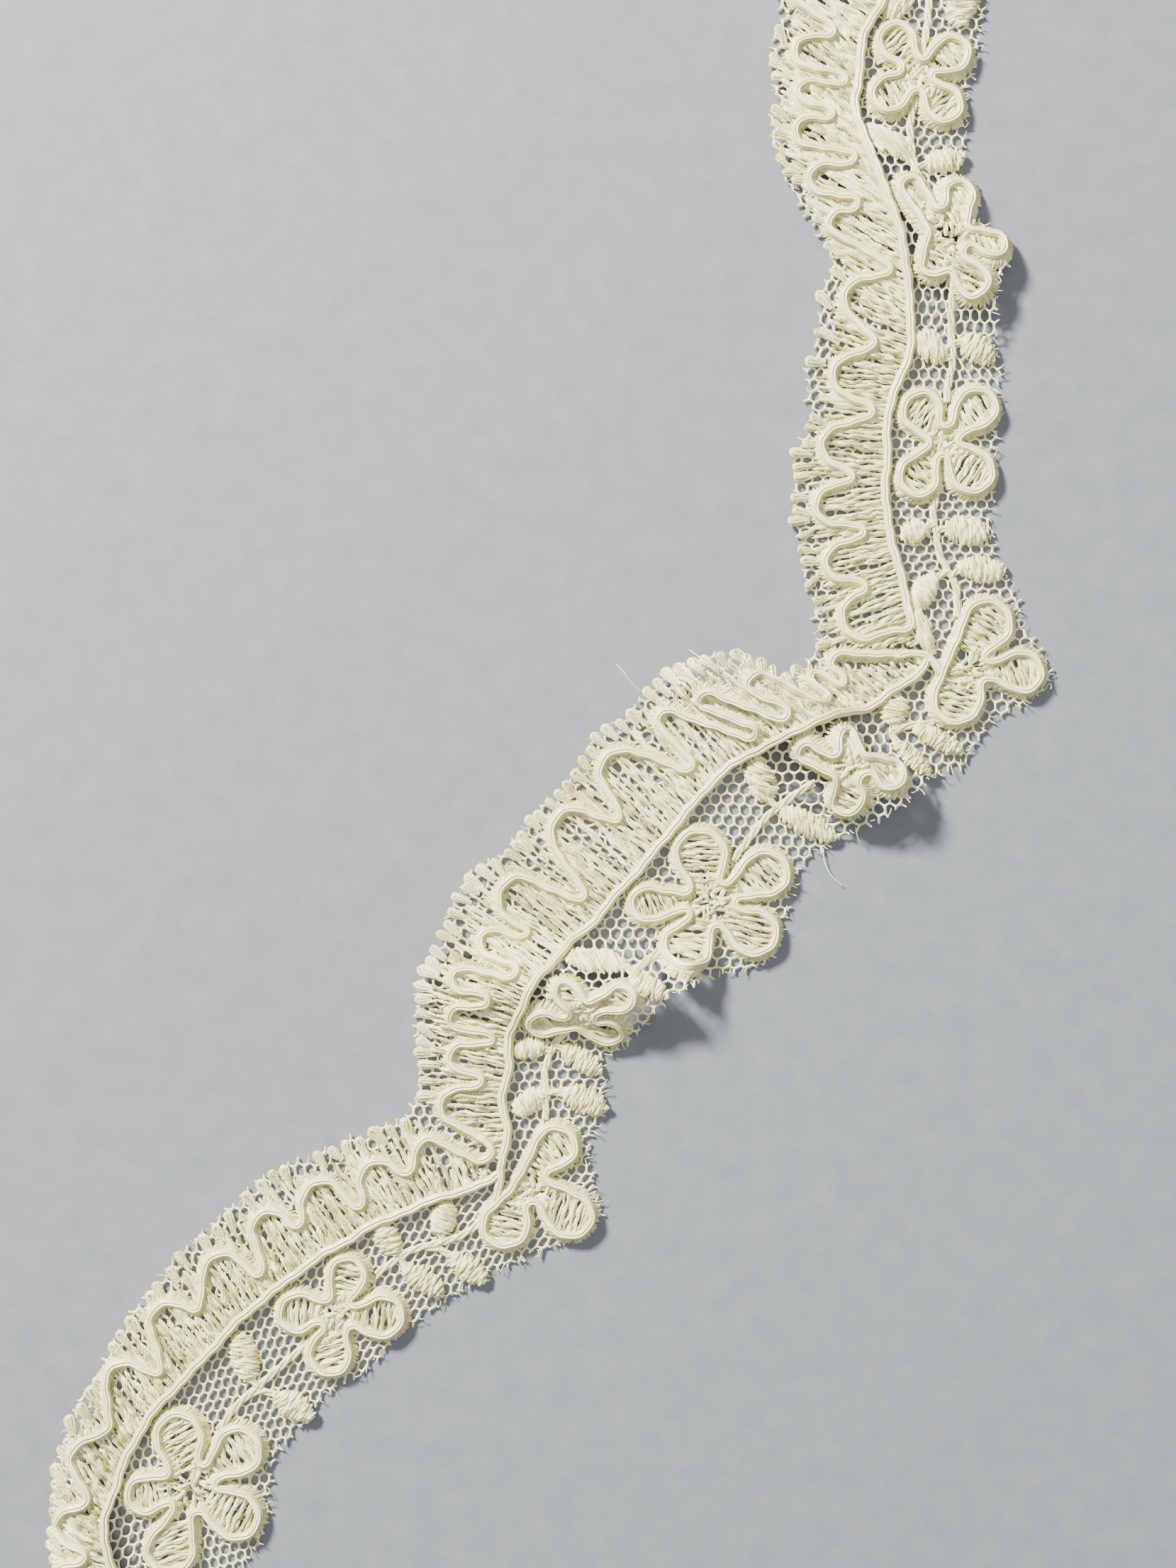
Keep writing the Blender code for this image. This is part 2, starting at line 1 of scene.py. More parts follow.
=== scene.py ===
"""The looks of the corded lace edging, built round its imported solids.

Everything is laid out in millimetres on the table's surface, with the picture's middle at 0, 0,
X to the right and Y up. The outline, folds, cords and flowers repeat the part's own source.
The leaves lie nearer to the photo than the solid's pads, and the stems are only here. raise_by is
a height over the middle of the lace sheet, along the sheet's own upward normal.
"""

import math

import bpy
import numpy as np
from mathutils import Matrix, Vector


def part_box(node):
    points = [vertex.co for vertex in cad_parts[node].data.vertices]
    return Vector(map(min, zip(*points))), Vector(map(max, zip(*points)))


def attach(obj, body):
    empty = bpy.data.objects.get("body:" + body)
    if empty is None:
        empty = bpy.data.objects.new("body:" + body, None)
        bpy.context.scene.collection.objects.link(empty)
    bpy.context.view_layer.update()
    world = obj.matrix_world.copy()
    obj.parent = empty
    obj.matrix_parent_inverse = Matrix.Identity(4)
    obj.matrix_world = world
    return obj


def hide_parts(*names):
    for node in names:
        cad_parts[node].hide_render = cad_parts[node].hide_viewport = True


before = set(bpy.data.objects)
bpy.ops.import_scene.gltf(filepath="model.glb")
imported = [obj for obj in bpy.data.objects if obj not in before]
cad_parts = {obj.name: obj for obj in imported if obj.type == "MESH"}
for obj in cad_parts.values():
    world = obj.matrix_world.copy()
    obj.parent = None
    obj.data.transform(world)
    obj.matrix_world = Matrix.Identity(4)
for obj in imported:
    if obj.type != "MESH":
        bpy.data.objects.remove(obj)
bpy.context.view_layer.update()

MM = 0.001
SHEET_THICK = 1.0

# A fold is a soft ridge: its line from x0, y0 to x1, y1, its height at each end, and how far
# it spreads to the left and to the right of that line.
FOLDS = (
    (15.0, 15.0, 40.0, -5.0, 5.2, 4.4, 6.8, 9.0),
    (-17.0, -23.4, 11.0, -24.6, 1.4, 5.2, 7.0, 7.0),
    (23.0, 80.0, 50.0, 57.0, 0.6, 2.6, 8.5, 8.5),
    (-61.5, -72.0, -58.5, -94.0, 1.6, 2.0, 6.5, 7.5),
)
FOLD_FADE = 5.0

# Stations down the strip: x and y of a point of the looped outer edge, and of the one across
# from it on the cut edge
STATIONS = (
    (23.2, 97.7, 46.2, 97.7), (22.6, 91.5, 46.5, 90.2), (21.7, 85.7, 45.9, 84.5),
    (21.7, 82.2, 44.5, 81.8), (21.5, 78.0, 44.9, 78.3), (22.6, 73.0, 44.2, 73.7),
    (25.0, 68.8, 43.4, 70.3), (26.6, 65.6, 45.6, 66.7), (28.7, 61.7, 49.2, 63.0),
    (27.5, 58.0, 48.0, 58.5), (27.0, 53.0, 47.7, 54.5), (25.7, 48.5, 48.5, 49.2),
    (26.2, 43.4, 48.4, 43.8), (24.4, 38.8, 48.2, 38.8), (24.4, 33.8, 47.8, 33.8),
    (25.0, 28.0, 47.9, 28.0), (26.4, 22.2, 50.4, 23.2), (27.0, 18.8, 51.2, 19.0),
    (27.0, 15.9, 54.2, 14.2), (24.9, 14.0, 54.5, 11.0), (23.0, 12.6, 50.0, 8.6),
    (20.0, 14.3, 46.5, 6.2), (16.2, 15.0, 43.9, 2.3), (12.0, 14.3, 39.7, 0.2),
    (7.7, 12.0, 36.0, -3.0), (4.5, 8.0, 30.9, -5.8), (0.7, 5.5, 26.5, -8.2),
    (-2.5, 0.0, 24.7, -10.4), (-6.5, -3.7, 24.0, -13.4), (-10.3, -8.5, 23.0, -17.2),
    (-14.1, -10.8, 21.0, -21.2), (-16.3, -15.3, 15.9, -22.3), (-18.4, -19.8, 11.4, -23.7),
    (-20.1, -23.5, 8.4, -26.0), (-20.1, -27.7, 5.4, -29.9), (-20.0, -31.7, 1.9, -32.8),
    (-20.0, -36.2, 1.9, -37.8), (-22.0, -39.5, 0.3, -43.0), (-27.0, -41.5, 0.8, -47.5),
    (-33.3, -44.2, 1.2, -52.4), (-38.6, -46.5, -5.8, -55.2), (-42.6, -50.7, -11.5, -57.8),
    (-46.8, -54.2, -16.5, -60.7), (-50.5, -58.3, -21.5, -64.5), (-53.8, -62.5, -26.6, -69.4),
    (-56.1, -66.5, -30.8, -71.9), (-58.6, -70.8, -33.5, -75.5), (-61.0, -75.2, -37.0, -79.3),
    (-62.6, -80.5, -37.5, -83.8), (-63.0, -86.2, -37.8, -87.8), (-63.1, -91.2, -40.8, -92.6),
    (-62.1, -98.3, -42.3, -98.3),
)

# The spine: routes of its three cords
SPINES = {
    "a": (
        (36.5, 97.2), (35.7, 94.7), (34.7, 92.2), (33.4, 90.0), (32.4, 87.8), (32.0, 84.7),
        (31.8, 82.0), (31.3, 80.0), (31.6, 77.8), (32.5, 75.7), (33.3, 73.5), (34.2, 71.0),
        (35.2, 68.8), (36.1, 66.3), (37.0, 63.7), (37.5, 60.8), (37.8, 58.0), (38.0, 54.7),
        (37.9, 51.3), (37.3, 48.8), (36.1, 46.5), (35.4, 43.8), (35.2, 40.9), (35.2, 38.0),
        (35.0, 34.7), (35.3, 30.9), (36.0, 27.6), (36.9, 24.2), (37.6, 21.3), (38.2, 18.2),
    ),
    "b": (
        (39.5, 13.7), (38.2, 12.5), (36.0, 11.1), (34.0, 9.6), (31.9, 8.5), (29.2, 7.9),
        (26.4, 7.2), (23.5, 6.0), (20.9, 4.7), (18.2, 3.2), (15.2, 0.8), (12.1, -2.7),
        (9.2, -6.2), (6.5, -9.5), (4.2, -12.0), (2.2, -14.3), (0.4, -16.5), (-2.0, -18.7),
        (-4.0, -21.0), (-6.0, -23.0), (-7.1, -24.7), (-8.1, -26.7), (-9.0, -28.8),
        (-9.4, -31.2), (-9.3, -33.7), (-9.9, -36.0), (-10.1, -38.0), (-9.5, -40.3),
        (-9.5, -42.2), (-10.2, -44.0),
    ),
    "c": (
        (-11.8, -46.7), (-14.5, -47.8), (-17.5, -48.6), (-20.1, -49.7), (-22.8, -50.8),
        (-25.8, -52.1), (-28.3, -53.7), (-31.2, -55.3), (-33.7, -57.1), (-36.1, -58.9),
        (-38.7, -61.0), (-41.2, -63.2), (-43.6, -65.8), (-46.0, -68.4), (-48.5, -71.0),
        (-50.6, -73.2), (-52.1, -75.2), (-53.5, -77.8), (-54.9, -80.3), (-55.7, -82.7),
        (-56.5, -85.0), (-56.9, -87.0), (-56.7, -89.5), (-56.0, -91.6), (-55.3, -94.5),
        (-54.8, -97.6),
    ),
}

# The winding line: it starts at a point, goes round the head of each lobe and back in a tight
# turn about the valley after it, and ends at a point. A lobe is its head's x, y and radius, its
# valley's x and y, and the direction of the band's threads there, in degrees. The last head has
# no valley.
SCALLOPS = {
    "a": {
        "start": (30.5, 97.0),
        "lobes": (
            (26.0, 93.3, 1.8, 28.2, 88.6, -32), (26.0, 86.0, 1.8, 29.5, 82.8, -38),
            (25.8, 81.2, 1.3, 28.0, 78.6, -35), (26.1, 76.5, 1.7, 30.6, 73.3, -38),
            (27.8, 71.1, 1.7, 31.2, 68.2, -37), (29.9, 66.0, 1.5, 35.0, 60.7, -30),
            (32.7, 56.8, 2.6, 33.1, 52.0, -32), (31.3, 47.9, 2.5, 32.9, 43.9, -7),
            (29.9, 39.7, 2.4, 30.5, 36.2, -9), (29.1, 32.8, 2.3, 31.8, 29.6, 12),
            (30.1, 26.2, 2.2, 31.9, 23.1, 7),
        ),
        "last_head": (32.4, 19.7, 2.6, 29),
        "end": (36.2, 18.2),
    },
    "b": {
        "start": (37.2, 15.1),
        "lobes": (
            (29.7, 14.3, 1.1, 29.5, 12.2, -42), (26.5, 12.0, 0.9, 27.1, 9.7, -38),
            (19.3, 11.7, 1.0, 22.4, 8.3, -47), (14.2, 10.1, 1.0, 19.2, 6.4, -45),
            (9.7, 7.3, 1.5, 11.7, 2.3, -48), (4.2, 1.3, 2.8, 3.2, -3.7, -46),
            (-1.5, -5.8, 2.9, -1.1, -13.0, -40), (-7.9, -13.6, 2.7, -7.8, -17.5, -39),
            (-11.1, -18.9, 1.7, -8.9, -22.0, -37), (-14.8, -22.9, 1.2, -12.3, -25.0, -21),
            (-14.9, -27.3, 1.4, -11.8, -29.7, -16), (-14.7, -32.2, 1.6, -13.1, -34.9, -14),
        ),
        "last_head": (-15.4, -37.8, 2.0, 4),
        "end": (-11.9, -42.1),
    },
    "c": {
        "start": (-12.8, -44.5),
        "lobes": (
            (-18.5, -43.5, 1.8, -21.5, -45.2, -67), (-24.7, -46.5, 2.2, -27.0, -49.1, -54),
            (-31.2, -49.2, 2.5, -34.2, -51.4, -56), (-37.2, -52.5, 2.3, -38.8, -57.1, -54),
            (-42.7, -57.8, 2.6, -46.2, -61.2, -58), (-49.0, -63.4, 2.5, -50.8, -68.7, -50),
            (-54.3, -70.6, 2.6, -57.0, -75.4, -53), (-58.3, -78.8, 2.2, -59.3, -83.7, -56),
            (-60.1, -86.8, 2.0, -59.3, -90.1, -50),
        ),
        "last_head": (-60.3, -93.0, 1.9, -20),
        "end": (-57.5, -96.7),
    },
}

# The flowers by number. A petal is its x, y and radius, the x and y of the turn between it and
# the next petal, and the direction of its threads, in degrees.
FLOWERS = {
    1: (
        (36.3, 87.3, 2.1, 39.3, 85.8, 37), (42.7, 85.8, 2.1, 41.1, 83.1, -50),
        (41.8, 80.0, 2.1, 38.7, 81.1, 27), (35.5, 81.2, 2.1, 36.4, 84.2, -56),
    ),
    2: (
        (37.8, 69.8, 1.2, 41.0, 67.7, -44), (43.4, 69.0, 1.7, 44.9, 65.3, -50),
        (47.4, 62.9, 1.4, 44.5, 62.1, -72), (45.2, 58.6, 1.6, 42.2, 59.5, -34),
        (40.5, 61.0, 1.3, 39.2, 64.3, -41),
    ),
    3: (
        (39.2, 43.9, 2.2, 42.1, 42.7, 52), (45.7, 44.2, 2.3, 44.2, 40.5, -61),
        (45.1, 36.8, 2.5, 41.7, 37.9, 54), (38.8, 36.1, 2.2, 39.4, 40.1, -43),
    ),
    4: (
        (47.0, 18.9, 2.7, 47.4, 15.0, -36), (51.1, 13.2, 2.3, 46.9, 11.7, -68),
        (43.4, 10.0, 2.8, 41.3, 13.8, -20),
    ),
    5: (
        (25.4, 4.1, 0.9, 28.4, 4.0, -45), (29.7, 5.3, 0.9, 32.0, 3.7, -42),
        (34.9, 0.9, 1.5, 32.1, 0.6, -47), (30.4, -1.5, 1.7, 28.4, 0.5, -35),
    ),
    6: (
        (13.2, -8.3, 2.9, 16.2, -11.0, -7), (20.9, -10.5, 2.6, 17.9, -14.0, -50),
        (19.6, -17.5, 2.6, 15.3, -17.3, -21), (11.5, -19.1, 2.6, 11.3, -15.3, -14),
        (7.1, -14.1, 2.0, 11.5, -12.2, -68),
    ),
    7: (
        (-2.6, -23.5, 1.3, 0.2, -24.1, -22), (3.9, -24.3, 1.5, 1.4, -26.9, -31),
        (2.4, -29.3, 1.7, -1.4, -29.2, -20), (-5.2, -28.0, 1.7, -2.6, -26.4, -38),
    ),
    8: (
        (-3.7, -42.6, 2.3, -4.3, -46.2, -56), (-2.1, -50.7, 2.6, -6.5, -49.8, 66),
        (-9.7, -51.8, 2.6, -9.5, -47.2, -25),
    ),
    9: (
        (-28.3, -57.8, 2.1, -27.4, -60.8, -20), (-24.2, -62.6, 2.4, -27.7, -64.4, 79),
        (-30.4, -67.0, 2.4, -31.7, -63.9, 11), (-34.1, -62.1, 2.2, -31.0, -60.2, 79),
    ),
    10: (
        (-48.1, -76.8, 2.7, -45.3, -79.4, 28), (-41.1, -78.4, 2.6, -43.2, -82.3, -61),
        (-41.4, -86.0, 2.7, -45.8, -86.1, 56), (-49.1, -90.0, 2.7, -49.4, -85.1, 18),
        (-52.1, -83.6, 2.1, -49.8, -80.7, -86),
    ),
}
# A flower on a slope looks flatter: the y about which it does, and how much of it shows
SLOPING_FLOWERS = {7: (-26.5, 0.82)}

# Padded leaves: x and y of the end at the stem and of the tip, the width of the pad and the
# direction of the stitches, in degrees
LEAVES = (
    (35.7, 95.0, 36.5, 90.6, 2.2, 63), (44.9, 95.2, 43.5, 90.0, 2.0, 6),
    (37.8, 73.8, 33.4, 77.0, 1.45, -40), (39.8, 73.0, 43.8, 73.9, 1.45, -78),
    (42.0, 50.0, 38.9, 53.0, 1.7, -76), (44.2, 52.3, 47.3, 50.2, 1.6, 66),
    (40.0, 30.5, 37.2, 29.1, 1.5, -66), (42.3, 30.3, 46.6, 29.4, 1.7, -80),
    (40.9, 24.5, 38.3, 20.9, 1.5, -48), (43.7, 25.6, 48.6, 25.0, 1.45, -78),
    (36.0, 7.1, 36.2, 10.3, 1.7, -12), (38.6, 6.6, 43.5, 4.1, 1.1, 62),
    (36.2, 4.9, 39.8, 1.7, 0.95, 52),
    (21.2, -1.9, 19.6, 2.6, 1.7, -31), (22.9, -3.1, 28.4, -6.2, 1.4, -78),
    (4.2, -21.0, -2.0, -20.2, 1.3, -50), (5.0, -22.4, 8.7, -24.3, 1.3, 62),
    (-5.0, -31.0, -8.5, -31.3, 1.35, -78), (-3.0, -31.2, 1.0, -33.6, 1.4, 62),
    (-5.3, -36.3, -8.4, -38.5, 1.4, -58), (-2.8, -36.3, 1.6, -38.1, 1.6, 64),
    (-17.5, -53.0, -16.6, -49.6, 1.55, -28), (-22.6, -55.3, -24.5, -52.2, 1.6, 20),
    (-16.2, -55.7, -12.5, -58.3, 1.55, 52), (-21.6, -57.1, -17.6, -59.7, 1.5, 52),
    (-39.9, -70.2, -41.0, -65.2, 1.7, -7), (-36.8, -72.1, -32.9, -74.4, 1.65, 52),
    (37.9, 21.2, 40.5, 15.9, 1.15, -62),
)

# Stems, worked in the lace between its flowers
STEMS = (
    ((39.2, 85.8), (39.9, 88.8), (40.2, 92.2), (40.4, 95.5), (40.4, 97.3)),
    ((38.7, 81.2), (38.0, 77.8), (38.1, 75.2), (38.4, 72.8), (39.5, 69.7)),
    ((43.0, 61.2), (42.7, 56.3), (42.8, 53.3), (43.0, 50.0), (42.5, 47.2), (42.2, 45.0)),
    ((41.5, 36.2), (40.7, 32.0), (41.0, 30.1), (41.4, 27.3), (42.4, 25.2), (43.4, 23.2),
     (43.5, 19.7)),
    ((35.4, 5.9), (37.0, 6.7), (38.8, 7.0), (40.8, 7.2)),
    ((17.1, -9.0), (20.1, -5.0), (21.7, -3.3), (24.0, -1.5), (26.5, 0.2)),
    ((10.0, -17.5), (8.4, -19.4), (6.8, -20.7), (5.0, -21.8)),
    ((-2.2, -28.8), (-3.6, -30.2), (-4.4, -31.6), (-5.0, -33.4), (-5.1, -34.9), (-4.8, -36.2),
     (-5.0, -38.0), (-5.0, -39.5)),
    ((-11.3, -50.5), (-14.5, -53.0), (-17.3, -54.0), (-20.6, -54.9), (-22.5, -56.0),
     (-25.0, -57.8)),
    ((-19.2, -54.6), (-17.6, -54.8), (-15.9, -55.8)),
    ((-39.9, -72.0), (-38.6, -71.5), (-36.8, -72.0)),
    ((-32.5, -65.5), (-35.8, -68.3), (-39.2, -71.3), (-41.4, -73.3), (-43.6, -76.2)),
)

# Where the outer edge turns in between two arcs, and the spine's point across from it
CUSPS = (
    ((25.4, 14.3), (38.9, 16.0)),
    ((-20.6, -37.8), (-10.9, -45.3)),
)

# Where the cords meet at the cusps: short runs of cord that lead one into the next
JOINS = (
    ((35.0, 17.85), (36.2, 18.05), (37.2, 18.05), (37.9, 18.5), (38.05, 19.3), (37.85, 20.4),
     (37.6, 21.3)),
    ((36.0, 14.95), (37.2, 15.15), (38.5, 15.35), (39.6, 15.25), (40.4, 14.7), (41.05, 13.9),
     (41.35, 12.9)),
    ((38.4, 12.7), (39.3, 13.5), (39.7, 14.1), (39.9, 14.9)),
    ((-9.6, -42.7), (-10.1, -43.9), (-10.3, -45.1), (-10.3, -46.4), (-10.45, -47.6),
     (-10.95, -49.1)),
    ((-13.0, -47.2), (-11.9, -46.75), (-11.1, -46.3), (-10.4, -45.7)),
    ((-12.9, -41.2), (-12.0, -41.95), (-11.4, -42.7), (-11.4, -43.6), (-12.1, -44.25),
     (-13.3, -44.45)),
)

SEED = 7
rng = np.random.default_rng(SEED)


# Lines on the sheet

def smooth_through(points, parts=8):
    """A smooth curve through the given points, each stretch in so many parts."""
    p = np.array(points, float)
    p = np.vstack([p[:1], p, p[-1:]])
    t = np.arange(parts)[:, None] / parts
    out = []
    for i in range(1, len(p) - 2):
        before, here, there, after = p[i - 1], p[i], p[i + 1], p[i + 2]
        bend = (before * 2 - here * 5 + there * 4 - after) * t ** 2
        twist = (here * 3 - before - there * 3 + after) * t ** 3
        out.append((here * 2 + (there - before) * t + bend + twist) / 2)
    out.append(p[-1:])
    return np.vstack(out)


def lengths_along(line):
    """How far along a line each of its points is."""
    steps = np.hypot(*np.diff(line, axis=0)[:, :2].T)
    return np.concatenate([[0.0], np.cumsum(steps)])


def even_steps(line, step):
    """Points about one step apart along a line, with the unit direction at each."""
    far = lengths_along(line)
    count = max(1, round(far[-1] / step))
    at = np.linspace(0, far[-1], count + 1)
    points = np.stack([np.interp(at, far, line[:, 0]), np.interp(at, far, line[:, 1])], 1)
    direction = np.gradient(points, axis=0)
    return points, direction / np.linalg.norm(direction, axis=1, keepdims=True)


def left_of(direction):
    """Each direction given a quarter turn to the left."""
    return np.stack([-direction[..., 1], direction[..., 0]], -1)


def toward(angle):
    """The unit direction at each angle."""
    return np.stack([np.cos(angle), np.sin(angle)], -1)


def distance_from(points, place):
    """How far each point is from a place."""
    return np.hypot(*(points - place).T)


def fold_height(x, y):
    """How high the sheet's underside stands above the table."""
    height = np.zeros(np.shape(x))
    for x0, y0, x1, y1, h0, h1, left, right in FOLDS:
        length = math.hypot(x1 - x0, y1 - y0)
        dx = (x1 - x0) / length
        dy = (y1 - y0) / length
        along = (x - x0) * dx + (y - y0) * dy
        across = dx * (y - y0) - dy * (x - x0)
        reach = np.where(across > 0, left, right)
        past = np.maximum(np.maximum(-along, along - length), 0)
        crest = h0 + (h1 - h0) * np.clip(along / length, 0, 1)
        shape = (1 + np.cos(math.pi * np.clip(np.abs(across) / reach, 0, 1))) / 2
        fade = (1 + np.cos(math.pi * np.clip(past / FOLD_FADE, 0, 1))) / 2
        height = height + crest * shape * fade
    return height


def on_sheet(points):
    """Points of the sheet's middle surface and its upward normals there."""
    x = points[..., 0]
    y = points[..., 1]
    step = 0.2
    slope_x = (fold_height(x + step, y) - fold_height(x - step, y)) / (2 * step)
    slope_y = (fold_height(x, y + step) - fold_height(x, y - step)) / (2 * step)
    normal = np.stack([-slope_x, -slope_y, np.ones_like(x)], -1)
    normal /= np.linalg.norm(normal, axis=-1, keepdims=True)
    return np.stack([x, y, fold_height(x, y) + SHEET_THICK / 2], -1), normal


def inside(points, outline):
    """Which points lie inside a closed outline, worked out a batch of points at a time."""
    batch = 4000
    flat = points.reshape(-1, 2)
    found = np.zeros(len(flat), bool)
    p = outline
    q = np.roll(outline, -1, axis=0)
    rise = np.where(q[:, 1] == p[:, 1], 1e-9, q[:, 1] - p[:, 1])
    for start in range(0, len(flat), batch):
        x = flat[start:start + batch, 0, None]
        y = flat[start:start + batch, 1, None]
        crosses = (p[:, 1] > y) != (q[:, 1] > y)
        at = p[:, 0] + (y - p[:, 1]) * (q[:, 0] - p[:, 0]) / rise
        found[start:start + batch] = np.sum(crosses & (x < at), axis=1) % 2 == 1
    return found.reshape(points.shape[:-1])


# The outline, as the part's own source makes it

LOOP_PITCH = 1.7
LOOP_DEPTH = 0.55
LOOP_UNEVEN = 0.2
CUT_PITCH = 1.35
CUT_DEPTH = 0.35

stations = np.array(STATIONS)
outer_line = smooth_through(stations[:, :2], 6)
inner_line = smooth_through(stations[:, 2:], 6)


def looped_edge():
    """The outer edge of the solid, with a notch between every two loops."""
    points, direction = even_steps(outer_line, LOOP_PITCH / 3)
    k = np.arange(len(points))
    depth = np.where(k % 3 == 0, LOOP_DEPTH, LOOP_UNEVEN * (1 + np.sin(k // 3 * 2.4)))
    return points + left_of(direction) * depth[:, None]


def cut_edge():
    """The ragged inner edge of the solid."""
    points, direction = even_steps(inner_line, CUT_PITCH)
    k = np.arange(len(points))
    ragged = 0.6 * np.cos(math.pi * k) + 0.4 * np.sin(k * 1.9)
    return points + left_of(direction) * (CUT_DEPTH * ragged)[:, None]


outline = np.vstack([looped_edge()[::-1], cut_edge()])
strip = np.vstack([outer_line[::-1], inner_line])


def table_to_row():
    """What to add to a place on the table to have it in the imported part's own frame, in mm."""
    middle, normal = on_sheet(outline)
    rim = np.vstack([middle + normal * SHEET_THICK / 2, middle - normal * SHEET_THICK / 2])
    low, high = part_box("lace_ground")
    shift_x = (low.x + high.x) / 2 / MM - (rim[:, 0].min() + rim[:, 0].max()) / 2
    shift_y = (low.y + high.y) / 2 / MM - (rim[:, 1].min() + rim[:, 1].max()) / 2
    return np.array([shift_x, shift_y, 0.0])


SHIFT = table_to_row()


# Meshes

# The upper half of a thread's section, from side to side: across and up, as shares of its size
ROUND = ((-1.0, 0.0), (-0.62, 0.86), (0.62, 0.86), (1.0, 0.0))
FLAT = ((-1.0, 0.0), (-0.45, 0.9), (0.45, 0.9), (1.0, 0.0))


def swept(lines, raise_by, width, thick, profile, tone, closed=False):
    """A thread's shape along each of many lines of as many points: vertices, faces and, for
    each vertex, how far along it is, how far across and the thread's own tone."""
    base, normal = on_sheet(lines)
    path = base + normal * raise_by[..., None]
    if closed:
        along = np.roll(path, -1, axis=1) - np.roll(path, 1, axis=1)
    else:
        along = np.gradient(path, axis=1)
    along /= np.maximum(np.linalg.norm(along, axis=-1, keepdims=True), 1e-9)
    side = np.cross(along, normal)
    side /= np.maximum(np.linalg.norm(side, axis=-1, keepdims=True), 1e-9)
    up = np.cross(side, along)
    across, over = np.array(profile).T
    verts = (
        path[:, :, None]
        + side[:, :, None] * (across * width[..., None] / 2)[..., None]
        + up[:, :, None] * (over * thick[..., None])[..., None]
    )
    count, steps, ring = verts.shape[:3]
    gone = np.linalg.norm(np.diff(path, axis=1), axis=-1)
    gone = np.concatenate([np.zeros((count, 1)), np.cumsum(gone, axis=1)], 1)
    run = np.zeros((count, steps, ring, 3))
    run[..., 0] = gone[:, :, None]
    run[..., 1] = across
    run[..., 2] = np.broadcast_to(np.asarray(tone), (count,))[:, None, None]
    index = np.arange(count * steps * ring).reshape(count, steps, ring)
    a = index if closed else index[:, :-1]
    b = np.roll(index, -1, axis=1) if closed else index[:, 1:]
    faces = np.stack([a[:, :, :-1], a[:, :, 1:], b[:, :, 1:], b[:, :, :-1]], -1)
    return verts.reshape(-1, 3), faces.reshape(-1, 4), run.reshape(-1, 3)


def swept_once(line, raise_by, width, thick, profile, tone, closed=False):
    """A thread's shape along one line. Its sizes are single numbers or one for each point."""
    sizes = [np.broadcast_to(size, len(line))[None] for size in (raise_by, width, thick)]
    return swept(line[None], *sizes, profile, tone, closed)


def stitches(lines, raise_by, width, share, tones, profile=ROUND):
    """Threads along many lines, as thick as a share of their width, each of a tone of its own."""
    tone = rng.uniform(*tones, len(lines))
    return swept(lines, raise_by, width, width * share, profile, tone)


def joined(shapes):
    """Several shapes as one."""
    verts = []
    faces = []
    runs = []
    size = 0
    for shape_verts, shape_faces, shape_run in shapes:
        verts.append(shape_verts)
        faces.append(shape_faces + size)
        runs.append(shape_run)
        size += len(shape_verts)
    return np.vstack(verts), np.vstack(faces), np.vstack(runs)


def add_piece(name, shape, finish, replaced=()):
    """One piece of the scene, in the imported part's frame, riding on it."""
    verts, faces, run = shape
    mesh = bpy.data.meshes.new(name)
    mesh.vertices.add(len(verts))
    mesh.vertices.foreach_set("co", ((verts + SHIFT) * MM).astype(np.float32).ravel())
    mesh.loops.add(faces.size)
    mesh.loops.foreach_set("vertex_index", faces.astype(np.int32).ravel())
    mesh.polygons.add(len(faces))
    mesh.polygons.foreach_set("loop_start", np.arange(0, faces.size, 4, dtype=np.int32))
    mesh.polygons.foreach_set("use_smooth", np.ones(len(faces), bool))
    mesh.update(calc_edges=True)
    mesh.validate()
    attribute = mesh.attributes.new("run", "FLOAT_VECTOR", "POINT")
    attribute.data.foreach_set("vector", run.astype(np.float32).ravel())
    mesh.materials.append(finish)
    piece = bpy.data.objects.new(name, mesh)
    bpy.context.scene.collection.objects.link(piece)
    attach(piece, "root")
    if replaced:
        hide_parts(*replaced)
    return piece


# Materials

# Painted highlight and shade across a cord's width, from one side at 0 to the other at 1: lighter
# lines on its ridges are painted highlights, darker lines in its grooves and towards its edges are
# painted shade
CORD_PAINTED_LIGHT = (
    (0.00, 0.10), (0.06, 0.35), (0.14, 0.30), (0.19, 0.00), (0.26, 0.85), (0.36, 1.00),
    (0.43, 0.75), (0.50, -0.20), (0.57, 0.75), (0.64, 1.00), (0.74, 0.85), (0.81, 0.00),
    (0.86, 0.30), (0.94, 0.35), (1.00, 0.10),
)


def new_material(name, values):
    """A material with the given values on its shader, its node tree and that shader."""
    made = bpy.data.materials.new(name)
    made.use_nodes = True
    shader = made.node_tree.nodes["Principled BSDF"]
    for socket, value in values.items():
        shader.inputs[socket].default_value = value
    return made, made.node_tree, shader


def new_node(tree, kind, values, links, **settings):
    """A shader node with its settings, the values of some inputs and what feeds the others."""
    node = tree.nodes.new("ShaderNode" + kind)
    for name, setting in settings.items():
        setattr(node, name, setting)
    for socket, value in values.items():
        node.inputs[socket].default_value = value
    for socket, source in links.items():
        tree.links.new(source, node.inputs[socket])
    return node


def scaled_sum(tree, source, scale, added):
    """A source times a scale plus what is added, which is a number or another source."""
    fixed = isinstance(added, float)
    values = {1: scale, 2: added} if fixed else {1: scale}
    links = {0: source} if fixed else {0: source, 2: added}
    return new_node(tree, "Math", values, links, operation="MULTIPLY_ADD").outputs[0]


